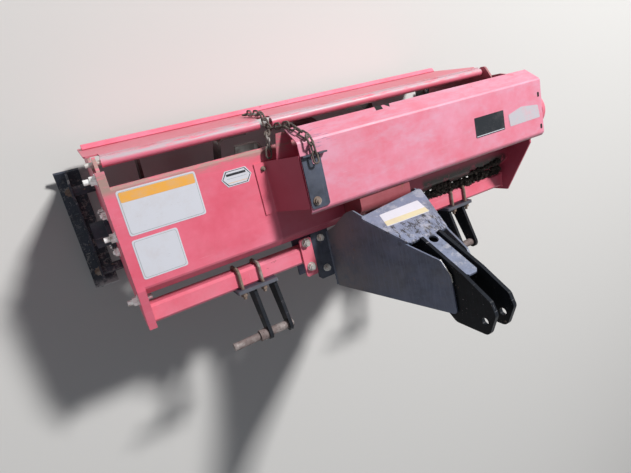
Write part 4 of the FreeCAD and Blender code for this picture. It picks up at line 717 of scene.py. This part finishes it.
# %% [markdown]
# The end plates carry the bearing's four bolts, studs with long threads, the skids' bolts and the
# gear case's ring of small ones. Two small rusty bolts hold the chain's bracket and the deck's tab.

# %% Bolts at the two ends
LEFT_PLATE_OUT, LEFT_PLATE_IN = -0.660, -0.654
GEAR_CASE_OUT = 0.708
SKID_BOLT_X, SKID_BOLT_Z = 0.722, 0.170
CORNER_STUD = (-0.089, 0.400)


def round_rows(centre, radius, count, way, start):
    """Bolts on a circle about an axis that runs across the machine."""
    x, y, z = centre
    angles = [start + 2 * math.pi * index / count for index in range(count)]
    return [((x, y + radius * math.cos(angle), z + radius * math.sin(angle)), way) for angle in angles]


bearing_rows = round_rows((LEFT_PLATE_OUT, *ROTOR_PLACE), 0.073, 4, LEFT, math.pi / 4)
plate_rows = [((LEFT_PLATE_OUT, y, z), LEFT) for y, z in ((0.085, 0.425), (0.225, 0.430))]
corner_rows = [((LEFT_PLATE_OUT, *CORNER_STUD), LEFT), ((LEFT_PLATE_IN, *CORNER_STUD), RIGHT)]
bolts("left_bearing_bolts", bearing_rows, bolt_sizes(0.0115, 0.010, 0.0145, 0.006), PAINTED_HIGHLIGHT_STUD)
bolts("left_plate_bolts", plate_rows, bolt_sizes(0.0120, 0.012, 0.0150, 0.0068, 0.014), PAINTED_HIGHLIGHT_STUD)
bolts("front_corner_bolts", corner_rows, bolt_sizes(0.0120, 0.012, 0.0150, 0.0068, 0.013), PAINTED_HIGHLIGHT_STUD)

skid_rows = [((side * SKID_BOLT_X, y, SKID_BOLT_Z), way)
             for side, way in ((-1, LEFT), (1, RIGHT)) for y in (-0.036, 0.199)]
bolts("skid_bolts", skid_rows, bolt_sizes(0.0115, 0.008, 0.0145, 0.006), RUSTY)

case_rows = round_rows((GEAR_CASE_OUT, *ROTOR_PLACE), 0.058, 6, RIGHT, 0.3)
case_rows += [((GEAR_CASE_OUT, ROTOR_PLACE[0] + dy, z), RIGHT)
              for dy in (-0.052, 0.052) for z in (0.33, 0.40)]
bolts("gear_case_bolts", case_rows, bolt_sizes(0.0085, 0.006, 0.0105, 0.0045))

bracket_row = ((-0.189, 0.046, 0.571), UP)
deck_row = ((-0.270, 0.150, 0.4632), UP)
bolts("bracket_bolt", [bracket_row], bolt_sizes(0.0085, 0.005, 0.0118, 0.004), RUSTY)
bolts("deck_bolt", [deck_row], bolt_sizes(0.0055, 0.003, 0.0070, 0.003), RUSTY)
print("end bolts", len(bearing_rows) + len(plate_rows) + len(corner_rows) + len(skid_rows) + len(case_rows))

# %% [markdown]
# ## Chain links
# The solids stand in for the links with flat-sided rings. A real link is round wire bent to an
# oval, so a second tree bends a round profile along a filleted rectangle. The centre and the two
# directions of each link are measured from its solid, so the new links lie exactly where those do.

# %% A tree that bends a round link on every point
LINK_SIZES = {"Link Length": 0.0295, "Link Width": 0.0145, "Wire Radius": 0.00272}
BEND_STEPS, WIRE_SIDES = 5, 8
BEND_SHARE = 0.49


def link_tree():
    tree, start = geometry_tree("round_link", LINK_SIZES)
    links = {"Width": start["Link Length"], "Height": start["Link Width"]}
    oval = add(tree, "GeometryNodeCurvePrimitiveQuadrilateral", {"mode": "RECTANGLE"}, links)
    half = add(tree, "ShaderNodeMath", {"operation": "MULTIPLY"}, {0: start["Link Width"]}, {1: BEND_SHARE})
    links = {"Curve": oval.outputs[0], "Radius": half.outputs[0]}
    bent = add(tree, "GeometryNodeFilletCurve", {"mode": "POLY"}, links, {"Count": BEND_STEPS})
    wire = add(tree, "GeometryNodeCurvePrimitiveCircle", {"mode": "RADIUS"},
               {"Radius": start["Wire Radius"]}, {"Resolution": WIRE_SIDES})
    links = {"Curve": bent.outputs[0], "Profile Curve": wire.outputs[0]}
    ring = add(tree, "GeometryNodeCurveToMesh", None, links)
    level = add(tree, "FunctionNodeAlignRotationToVector", {"axis": "Z"}, {"Vector": attribute(tree, "flat")})
    links = {"Rotation": level.outputs[0], "Vector": attribute(tree, "way")}
    turn = add(tree, "FunctionNodeAlignRotationToVector", {"axis": "X", "pivot_axis": "Z"}, links)
    real = copied(tree, start["Geometry"], ring.outputs[0], {"Rotation": turn.outputs[0]})
    smooth = add(tree, "GeometryNodeSetShadeSmooth", None, {"Geometry": real.outputs[0]})
    return closed(tree, smooth)


def lay_links(name, rows, body):
    """Round links at rows of (centre, long direction, flat direction), riding on a body."""
    table = points_mesh(name + "_table", [(row[0], row[1]) for row in rows])
    flat = table.attributes.new("flat", "FLOAT_VECTOR", "POINT")
    flat.data.foreach_set("vector", [part for row in rows for part in row[2]])
    tree, setter = link_tree()
    return run_tree(name, tree, setter, table, LINK_SIZES, body, CHAIN_STEEL)


print("link sizes", LINK_SIZES)

# %% [markdown]
# The measure is a plain one: the corners that hang together are one link, and the directions along
# which they spread the most and the least are its length and its flat side.

# %% Round chain links in place of the flat ones
WELD_DISTANCE = 0.00002
FEWEST_CORNERS = 8


def islands(shell):
    """The corners of a mesh, sorted into pieces that hang together."""
    left = set(shell.verts)
    while left:
        island = [left.pop()]
        for vertex in island:
            for edge in vertex.link_edges:
                other = edge.other_vert(vertex)
                if other in left:
                    left.discard(other)
                    island.append(other)
        yield np.array([vertex.co for vertex in island])


def link_places(solid):
    """Centre, long direction and flat direction of every link in a chain's solid."""
    shell = bmesh.new()
    shell.from_mesh(solid.data)
    shell.transform(solid.matrix_world)
    bmesh.ops.remove_doubles(shell, verts=shell.verts, dist=WELD_DISTANCE)
    rows = []
    for spots in islands(shell):
        middle = (spots.max(axis=0) + spots.min(axis=0)) / 2
        middle = spots.mean(axis=0) if len(spots) > FEWEST_CORNERS else middle
        _, _, axes = np.linalg.svd(spots - middle, full_matrices=False)
        rows.append((tuple(middle), tuple(axes[0]), tuple(axes[2])))
    shell.free()
    return rows


CHAIN_BODIES = {"lift_chain": "frame", "deck_chain": "frame", "tailgate_chain": "tail_gate"}
for chain_name, chain_body in CHAIN_BODIES.items():
    link_rows = link_places(NODES[chain_name])
    links = lay_links(chain_name + "_links", link_rows, chain_body)
    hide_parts(chain_name)
    print(chain_name, len(link_rows), "links")

# %% [markdown]
# Two more links close the chain at the hinge. They lie so near its axis that the gate can turn
# round them, so they ride on the frame. The chain looks whole at rest and hardly parts when the
# gate is up.

# %% The two links at the hinge
hinge_rows = [
    ((-0.2038, 0.2482, 0.4101), (0.0, 0.35, -0.937), (1.0, 0.0, 0.0)),
    ((-0.2036, 0.2613, 0.3955), (0.0, 0.872, -0.489), (0.0, 0.489, 0.872)),
]
lay_links("hinge_links", hinge_rows, "frame")
print("hinge links", len(hinge_rows))

# %% [markdown]
# ## Weld seams
# The frame is welded together, and a hand-laid seam is a row of overlapping drops. A third tree
# cuts each seam's line into steps and puts a round drop, each a little larger or smaller, on every
# step. The random sizes use a fixed seed, so the seams are the same in every render.

# %% A tree that lays a weld seam along lines
DROP_SIZES, DROP_SEED = (0.8, 1.15), 7
STEP_PER_DROP = 1.4
BALL_DETAIL = 2


def stepped(tree, start, step):
    """Points along the table's lines, one at every step."""
    line = add(tree, "GeometryNodeMeshToCurve", None, {"Mesh": start["Geometry"]})
    links = {"Curve": line.outputs[0], "Length": start[step]}
    steps = add(tree, "GeometryNodeResampleCurve", {"mode": "LENGTH"}, links)
    points = add(tree, "GeometryNodeCurveToPoints", {"mode": "EVALUATED"}, {"Curve": steps.outputs[0]})
    return points.outputs[0]


def ball(tree, radius):
    made = add(tree, "GeometryNodeMeshIcoSphere", None, {"Radius": radius}, {"Subdivisions": BALL_DETAIL})
    return made.outputs[0]


def seam_tree(sizes):
    tree, start = geometry_tree("weld_seam", sizes)
    values = {2: DROP_SIZES[0], 3: DROP_SIZES[1], "Seed": DROP_SEED}
    drawn = add(tree, "FunctionNodeRandomValue", {"data_type": "FLOAT"}, None, values)
    points = stepped(tree, start, "Bead Step")
    real = copied(tree, points, ball(tree, start["Bead Radius"]), {"Scale": drawn.outputs[1]})
    return closed(tree, real)


def seams(name, lines, bead, material):
    sizes = {"Bead Radius": bead, "Bead Step": bead * STEP_PER_DROP}
    tree, setter = seam_tree(sizes)
    return run_tree(name, tree, setter, lines_mesh(name + "_lines", lines), sizes, "frame", material)


print("seam drops between", DROP_SIZES)

# %% [markdown]
# The seams lie where the parts meet: round the front tube's ends, up both sides of every hitch arm,
# along the headstock's feet, and on the mast's bare rear edge.

# %% Seams of the frame
TUBE_END_X = 0.6535
TUBE_RIM = ((-0.156, 0.370), (-0.156, 0.420), (-0.106, 0.420), (-0.106, 0.370))
ARM_MIDDLES, ARM_HALF = (-0.305, -0.368, 0.377, 0.440), 0.0052
ARM_SEAM_Y, ARM_SEAM_LOW, ARM_SEAM_TOP = -0.1665, 0.366, 0.434
FOOT_SEAM_X, FOOT_HALF = 0.1425, 0.004
FOOT_SEAM_FRONT, FOOT_SEAM_BACK, FOOT_SEAM_Z = -0.253, -0.085, 0.4270
MAST_EDGE = (
    (-0.0088, -0.1420, 0.7868), (-0.0062, -0.1600, 0.7975),
    (-0.0030, -0.1775, 0.8083), (-0.0022, -0.1960, 0.8100),
)

tube_seams = []
for x in (-TUBE_END_X, TUBE_END_X):
    rim = [(x, *corner) for corner in TUBE_RIM]
    tube_seams += list(zip(rim, rim[1:] + rim[:1]))
seams("tube_seams", tube_seams, 0.0034, REDS["faded_red"])

arm_sides = [middle + dx for middle in ARM_MIDDLES for dx in (-ARM_HALF, ARM_HALF)]
arm_seams = [((x, ARM_SEAM_Y, ARM_SEAM_LOW), (x, ARM_SEAM_Y, ARM_SEAM_TOP)) for x in arm_sides]
seams("arm_seams", arm_seams, 0.0028, BLACK)

foot_sides = [HITCH_X + side * FOOT_SEAM_X + dx for side in (-1, 1) for dx in (-FOOT_HALF, FOOT_HALF)]
foot_seams = [((x, FOOT_SEAM_FRONT, FOOT_SEAM_Z), (x, FOOT_SEAM_BACK, FOOT_SEAM_Z)) for x in foot_sides]
seams("foot_seams", foot_seams, 0.0030, BLACK)

seams("mast_edge_seams", list(zip(MAST_EDGE, MAST_EDGE[1:])), 0.0022, PLATED)
print("seam lines", len(tube_seams) + len(arm_seams) + len(foot_seams) + len(MAST_EDGE) - 1)

# %% [markdown]
# ## Soil under the cover
# Soil and dry grass have packed into the gap between the deck's lip and the front tube, where the
# drive cover keeps the rain off. Lumps along five lines, each of its own size and turn, then pushed
# in and out by a noise, look like it. Bump alone would leave the gap open. The lumps are near-black,
# partly a painted shade that stands for the shade in the gap.

# %% A tree that packs lumps of soil along lines
LUMP_SIZES = {"Lump Radius": 0.0080, "Step": 0.0055, "Spread": 0.0050}
LUMP_DRAWS = {"shift": (3, -1.0, 1.0), "size": (5, 0.25, 1.45), "turn": (8, 0.0, 6.28)}
CRUMB_SCALE, CRUMB_DETAIL = 110.0, 3.0
CRUMB_PUSH, CRUMB_BASE = 0.012, -0.0060


# Near-black soil with pale straw: partly painted shade.
def soil_finish():
    f = Finish("dry_soil_and_shade", (0.018, 0.015, 0.013))
    f.layer(f.clouds(30.0, 0.5, 0.15, 8.0, 0.75), (0.050, 0.041, 0.035))
    straw = f.streaks((60.0, 260.0, 260.0), 0.64, 0.03, 5.0, 0.7, turn=0.6)
    f.layer(straw * 0.8, (0.40, 0.38, 0.33))
    return f.finish(0.92, relief=f.noise(260.0, 5.0), strength=0.4, sheen=0.2)


def scaled(tree, vector, share):
    """A vector socket times a number socket."""
    return add(tree, "ShaderNodeVectorMath", {"operation": "SCALE"}, {0: vector, "Scale": share}).outputs[0]


def soil_tree():
    tree, start = geometry_tree("packed_soil", LUMP_SIZES)
    drawn = {}
    for label, (seed, low, high) in LUMP_DRAWS.items():
        values = {0: (low, low, low), 1: (high, high, high), "Seed": seed}
        draw = add(tree, "FunctionNodeRandomValue", {"data_type": "FLOAT_VECTOR"}, None, values)
        drawn[label] = draw.outputs[0]
    shift = scaled(tree, drawn["shift"], start["Spread"])
    links = {"Geometry": stepped(tree, start, "Step"), "Offset": shift}
    spread = add(tree, "GeometryNodeSetPosition", None, links)
    lump = ball(tree, start["Lump Radius"])
    real = copied(tree, spread.outputs[0], lump, {"Scale": drawn["size"], "Rotation": drawn["turn"]})
    crumbs = add(tree, "ShaderNodeTexNoise", None, None, {"Scale": CRUMB_SCALE, "Detail": CRUMB_DETAIL})
    push = add(tree, "ShaderNodeMath", {"operation": "MULTIPLY_ADD"}, {0: crumbs.outputs[0]},
               {1: CRUMB_PUSH, 2: CRUMB_BASE})
    offset = scaled(tree, add(tree, "GeometryNodeInputNormal").outputs[0], push.outputs[0])
    links = {"Geometry": real.outputs[0], "Offset": offset}
    return closed(tree, add(tree, "GeometryNodeSetPosition", None, links))


GAP_START, GAP_END = 0.262, 0.640
GAP_LINES = ((-0.0975, 0.4135), (-0.0900, 0.4190), (-0.0820, 0.4265))
soil_lines = [((GAP_START, y, z), (GAP_END, y, z)) for y, z in GAP_LINES]
soil_lines.append(((0.300, -0.0640, 0.4480), (0.380, -0.0640, 0.4480)))
soil_lines.append(((0.470, -0.0560, 0.4560), (0.610, -0.0520, 0.4590)))
soil, soil_setter = soil_tree()
soil_mesh = lines_mesh("packed_soil_lines", soil_lines)
run_tree("packed_soil", soil, soil_setter, soil_mesh, {}, "frame", soil_finish())
print("soil lines", len(soil_lines))

# %% [markdown]
# ## Plates and stickers
# The real stickers carry printing; here they are blank, with only their field, border and coloured
# band. Each is a thin closed plate a hair above the paint, so it throws no doubt about its edge.

# %% Outlines and thin plates
def box_corners(x0, x1, y0, y1):
    return [(x0, y0), (x1, y0), (x1, y1), (x0, y1)]


def rounded(points, radius, steps=4):
    """An outline with every corner rounded by short straight steps."""
    outline = []
    count = len(points)
    for index, (x, y) in enumerate(points):
        here = Vector((x, y))
        before = (Vector(points[index - 1]) - here).normalized()
        after = (Vector(points[(index + 1) % count]) - here).normalized()
        start = here + before * radius
        stop = here + after * radius
        for step in range(steps + 1):
            t = step / steps
            spot = start * (1 - t) ** 2 + here * 2 * t * (1 - t) + stop * t ** 2
            outline.append((spot.x, spot.y))
    return outline


def flat_piece(name, corners, plane, level, material, slot):
    """A thin plate on a plane (a point and three directions) at a level (a lift and a height)."""
    base, across, along, out = (Vector(v) for v in plane)
    low_lift, thick = level
    shell = bmesh.new()
    low = [shell.verts.new(base + across * u + along * v + out * low_lift) for u, v in corners]
    high = [shell.verts.new(base + across * u + along * v + out * (low_lift + thick)) for u, v in corners]
    shell.faces.new(high)
    shell.faces.new(list(reversed(low)))
    for index in range(len(corners)):
        following = (index + 1) % len(corners)
        shell.faces.new((low[index], low[following], high[following], high[index]))
    bmesh.ops.recalc_face_normals(shell, faces=shell.faces)
    mesh = bpy.data.meshes.new(name)
    shell.to_mesh(mesh)
    shell.free()
    mesh.materials.append(material)
    piece = bpy.data.objects.new(name, mesh)
    bpy.context.scene.collection.objects.link(piece)
    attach(piece, "frame")
    return piece


print("corners of a rounded box", len(rounded(box_corners(0, 1, 0, 1), 0.1)))

# %% [markdown]
# Printed film yellows, gets soiled and picks up fine scuffs. One function makes every colour of it.

# %% Printed film
def film(name, colour, rough, soiling, tint=(0.55, 0.45, 0.40), sheen=0.5):
    f = Finish(name, colour)
    cloud = f.clouds(17.0, 0.6 - 0.08 * soiling, 0.12, 7.0, 0.75) * soiling
    f.layer(cloud, tint)
    scuffs = f.streaks((60.0, 420.0, 90.0), 0.68, 0.03, 4.0, 0.6)
    f.layer(scuffs * 0.45, toned(colour, 0.5, 0.12))
    return f.finish((cloud * 0.3 + rough).clamped(), relief=cloud, strength=0.05, sheen=sheen)


WHITE_FILM = film("white_film", (0.66, 0.68, 0.75), 0.42, 0.25, (0.55, 0.50, 0.50))
STRIP_FILM = film("worn_strip_film", (0.56, 0.55, 0.60), 0.4, 0.5, (0.80, 0.38, 0.45))
GREY_LINE = film("grey_border", (0.36, 0.42, 0.45), 0.5, 0.3)
ORANGE_FILM = film("orange_band", (0.86, 0.42, 0.07), 0.45, 0.35)
BLACK_FILM = film("black_film", (0.018, 0.022, 0.028), 0.38, 0.4, (0.12, 0.11, 0.12), 0.2)
YELLOW_FILM = film("yellow_band", (0.68, 0.62, 0.40), 0.48, 0.4)
# Near-black film for the openings: painted shade.
HOLE_SHADE = film("slot_painted_shade", (0.006, 0.005, 0.005), 0.9, 0.1, (0.05, 0.03, 0.03))
print("films", [m.name for m in (WHITE_FILM, STRIP_FILM, GREY_LINE, ORANGE_FILM, BLACK_FILM, YELLOW_FILM)])

# %% [markdown]
# Two stickers lie on the deck and one on the cover. A sticker is its field, a border line inset
# from the edge, the field again inside the line, and a coloured band: each layer a hair higher.

# %% Square stickers
ACROSS, BACKWARD, OUTWARD = (1, 0, 0), (0, 1, 0), (0, 0, 1)
DECK_TOP = ((0, 0, 0.460), ACROSS, BACKWARD, OUTWARD)
COVER_TOP = ((0, 0, 0.567), ACROSS, BACKWARD, OUTWARD)
BASE_FILM, CUT_DARK = (0.0001, 0.0005), (0.0001, 0.0003)
BORDER_INSET, BORDER_WIDE, BAND_INSET = 0.0035, 0.0012, 0.005


def ink(layer):
    """Lift and height of a layer of print over the base film."""
    return 0.0006 + 0.0002 * layer, 0.0002


def sticker(name, box, plane, field, border=None, band=None, radius=0.007):
    """A blank sticker with an optional border line and an optional coloured band at its far edge."""
    x0, x1, y0, y1 = box
    flat_piece(name, rounded(box_corners(*box), radius), plane, BASE_FILM, field, "plated_steel")
    if border:
        rings = (("_border", BORDER_INSET, border, "black_paint"),
                 ("_field", BORDER_INSET + BORDER_WIDE, field, "plated_steel"))
        for layer, (label, inset, material, slot) in enumerate(rings):
            inner = box_corners(x0 + inset, x1 - inset, y0 + inset, y1 - inset)
            flat_piece(name + label, rounded(inner, radius), plane, ink(layer), material, slot)
    if band:
        low, high, material = band
        strip = rounded(box_corners(x0 + BAND_INSET, x1 - BAND_INSET, low, high), 0.004)
        flat_piece(name + "_band", strip, plane, ink(2), material, "cover_pink")


orange_band = (0.162, 0.186, ORANGE_FILM)
sticker("wide_sticker", (-0.633, -0.445, 0.081, 0.191), DECK_TOP, WHITE_FILM, GREY_LINE, orange_band)
sticker("square_sticker", (-0.635, -0.525, -0.029, 0.071), DECK_TOP, WHITE_FILM, GREY_LINE)
sticker("cover_sticker", (0.396, 0.525, 0.072, 0.133), COVER_TOP, BLACK_FILM, radius=0.002)
white_line = box_corners(0.399, 0.522, 0.0745, 0.0768)
flat_piece("cover_sticker_line", white_line, COVER_TOP, ink(0), WHITE_FILM, "plated_steel")

# %% [markdown]
# The six-sided plate on the deck and the flared strip at the cover's right end aren't square, so
# each is drawn from its own corners. Three coloured lines stand for the plate's printing.

# %% The six-sided plate and the strip
HEX_X, HEX_Y = (-0.386, -0.303), (0.128, 0.169)
HEX_POINT = 0.013
PLATE_LINES = (
    ("top", (0.1545, 0.1605), BLACK_FILM),
    ("middle", (0.1475, 0.1485), GREY_LINE),
    ("low", (0.1365, 0.1375), ORANGE_FILM),
)


def six_sided(inset):
    x0, x1 = HEX_X[0] + inset, HEX_X[1] - inset
    y0, y1 = HEX_Y[0] + inset * 0.8, HEX_Y[1] - inset * 0.8
    middle = sum(HEX_Y) / 2
    left, right = x0 + HEX_POINT, x1 - HEX_POINT
    return [(x0, middle), (left, y0), (right, y0), (x1, middle), (right, y1), (left, y1)]


flat_piece("maker_plate_rim", six_sided(0.0), DECK_TOP, (0.0001, 0.0007), WHITE_FILM, "plated_steel")
flat_piece("maker_plate_dark", six_sided(0.0025), DECK_TOP, ink(1), BLACK_FILM, "black_paint")
flat_piece("maker_plate_inner", six_sided(0.0045), DECK_TOP, ink(2), WHITE_FILM, "plated_steel")
for label, (low, high), colour in PLATE_LINES:
    outline = box_corners(-0.371, -0.318, low, high)
    flat_piece("maker_plate_" + label + "_line", outline, DECK_TOP, ink(3), colour, "black_paint")

size_strip = [(0.546, 0.113), (0.551, 0.075), (0.697, 0.076), (0.690, 0.118), (0.610, 0.127)]
flat_piece("size_strip", rounded(size_strip, 0.004), COVER_TOP, BASE_FILM, STRIP_FILM, "plated_steel")
print("plate pieces", 3 + len(PLATE_LINES), "and the strip")

# %% [markdown]
# The back plate's sticker and the cover's two dark notches lie on slopes. The slope is read from
# the solid's widest face that looks up and back, so they follow the metal. Two small dark slots
# stand for the holes at the cover's right end. The dark of the notches and slots is painted shade.

# %% Plates on slopes, and dark slots
SLOPING = 0.3
PLATE_SLOPE_Y, COVER_SLOPE_Z = -0.028, 0.5135


def slope_plane(node, y=None, z=None):
    """The plane of a solid's widest slope, with its base at a given depth or height."""
    faces = [face for face in NODES[node].data.polygons if min(face.normal.y, face.normal.z) > SLOPING]
    widest = max(faces, key=lambda face: face.area)
    out = widest.normal.copy()
    middle = widest.center
    if y is None:
        y = middle.y - (z - middle.z) * out.z / out.y
    else:
        z = middle.z - (y - middle.y) * out.y / out.z
    return (0.0, y, z), ACROSS, Vector(ACROSS).cross(out), out


plate_slope = slope_plane("headstock_back", y=PLATE_SLOPE_Y)
plate_film = rounded([(-0.030, 0.024), (0.107, 0.022), (0.104, 0.076), (-0.040, 0.073)], 0.003)
plate_band = [(-0.036, 0.053), (0.105, 0.056), (0.1035, 0.0745), (-0.0390, 0.0710)]
flat_piece("plate_sticker", plate_film, plate_slope, BASE_FILM, WHITE_FILM, "plated_steel")
flat_piece("plate_sticker_band", plate_band, plate_slope, ink(0), YELLOW_FILM, "plated_steel")

NOTCHES = {
    "cover_notch_wide": [(0.078, 0.0005), (0.101, 0.0005), (0.095, 0.019), (0.072, 0.019)],
    "cover_notch_narrow": [(0.109, 0.0005), (0.130, 0.0005), (0.121, 0.017)],
}
cover_slope = slope_plane("drive_cover", z=COVER_SLOPE_Z)
for name, outline in NOTCHES.items():
    flat_piece(name, outline, cover_slope, CUT_DARK, HOLE_SHADE, "black_paint")

SLOTS = {"cover_slot_150": (0.697, 0.150), "cover_slot_45": (0.700, 0.045)}
SLOT_HALF_X, SLOT_HALF_Y, SLOT_ROUND = 0.0045, 0.008, 0.0042
for name, (x, y) in SLOTS.items():
    ring = box_corners(x - SLOT_HALF_X, x + SLOT_HALF_X, y - SLOT_HALF_Y, y + SLOT_HALF_Y)
    flat_piece(name, rounded(ring, SLOT_ROUND), COVER_TOP, CUT_DARK, HOLE_SHADE, "black_paint")
print("notches", len(NOTCHES), "slots", len(SLOTS))

# %% [markdown]
# ## The studio
# A pale plain floor keeps the object's shadow. The lamps follow the photo: a strong one behind on
# the right, which leaves the drive cover's left end dark, and two wide weak ones that fill the shade.

# %% Floor and lamps
FLOOR_HALF = 9.0
FLOOR_PALE = (0.68, 0.68, 0.67)
LAMP_AIM = (0.0, 0.0, 0.3)
LAMPS = (
    ("sun_lamp", (3.7, 4.6, 6.1), 1.0, 860.0, (1.0, 0.98, 0.96)),
    ("fill_lamp", (-2.6, -0.8, 3.0), 3.0, 6.0, (0.93, 0.96, 1.0)),
    ("front_lamp", (0.3, -3.0, 2.2), 2.5, 6.0, (0.95, 0.97, 1.0)),
)

floor_corners = [(x, y, 0.0) for x, y in box_corners(-FLOOR_HALF, FLOOR_HALF, -FLOOR_HALF, FLOOR_HALF)]
floor_mesh = bpy.data.meshes.new("studio_floor")
floor_mesh.from_pydata(floor_corners, [], [(0, 1, 2, 3)])
floor_mesh.materials.append(Finish("studio_floor", FLOOR_PALE).finish(0.9))
floor = bpy.data.objects.new("studio_floor", floor_mesh)
bpy.context.scene.collection.objects.link(floor)


def lamp(name, place, size, power, tint):
    """A square area lamp that looks at the machine's middle."""
    light = bpy.data.lights.new(name, "AREA")
    light.size = size
    light.energy = power
    light.color = tint
    made = bpy.data.objects.new(name, light)
    made.location = place
    made.rotation_euler = (Vector(LAMP_AIM) - Vector(place)).to_track_quat("-Z", "Y").to_euler()
    bpy.context.scene.collection.objects.link(made)
    return made


for lamp_row in LAMPS:
    lamp(*lamp_row)
print("floor", 2 * FLOOR_HALF, "m wide, lamps", len(LAMPS))

# %% [markdown]
# The world lights the shade weakly with a blue-grey sky. What the camera, a mirror or a glass sees
# of it is a plain pale tone like the floor, so a low view shows no edge between the two.

# %% The world
AIR_TONE, AIR_STRENGTH = (0.86, 0.90, 1.0, 1.0), 0.10
BACKDROP_TONE = (0.78, 0.78, 0.77, 1.0)

world = bpy.data.worlds.new("studio_air")
world.use_nodes = True
bpy.context.scene.world = world
air = world.node_tree
background = air.nodes["Background"]
background.inputs["Color"].default_value = AIR_TONE
background.inputs["Strength"].default_value = AIR_STRENGTH
backdrop = air.nodes.new("ShaderNodeBackground")
backdrop.inputs["Color"].default_value = BACKDROP_TONE
seen = air.nodes.new("ShaderNodeLightPath")
chosen = air.nodes.new("ShaderNodeMixShader")
shown = seen.outputs["Is Camera Ray"]
for kind in ("Is Glossy Ray", "Is Transmission Ray"):
    either = air.nodes.new("ShaderNodeMath")
    either.operation = "MAXIMUM"
    air.links.new(shown, either.inputs[0])
    air.links.new(seen.outputs[kind], either.inputs[1])
    shown = either.outputs[0]
for source, socket in ((shown, 0), (background.outputs[0], 1), (backdrop.outputs[0], 2)):
    air.links.new(source, chosen.inputs[socket])
air.links.new(chosen.outputs[0], air.nodes["World Output"].inputs["Surface"])
print("world strength", AIR_STRENGTH)

# %% [markdown]
# ## The camera
# The photo was taken from above the left end. The camera's place, its three directions and its
# lens were fitted to the edges of the deck, the beam and the cover, so the view can be compared
# with the photo edge by edge.

# %% The photo's camera
CAMERA_PLACE = (-0.7033, 0.27409, 1.5926)
CAMERA_RIGHT = Vector((0.8532, -0.2188, 0.4735))
CAMERA_DOWN = Vector((-0.3176, -0.938, 0.1389))
CAMERA_LOOK = Vector((0.4137, -0.2689, -0.8698))
LENS, SENSOR, CLIP_START = 25.935, 36.0, 0.02

eye = bpy.data.cameras.new("photo_camera")
eye.lens = LENS
eye.sensor_width = SENSOR
eye.sensor_fit = "HORIZONTAL"
eye.clip_start = CLIP_START
camera = bpy.data.objects.new("photo_camera", eye)
turn = Matrix((CAMERA_RIGHT, -CAMERA_DOWN, -CAMERA_LOOK)).transposed().to_4x4()
camera.matrix_world = Matrix.Translation(CAMERA_PLACE) @ turn
bpy.context.scene.collection.objects.link(camera)
bpy.context.scene.camera = camera
bpy.context.scene.view_settings.view_transform = "Standard"
print("camera at", CAMERA_PLACE, "lens", LENS, "mm")
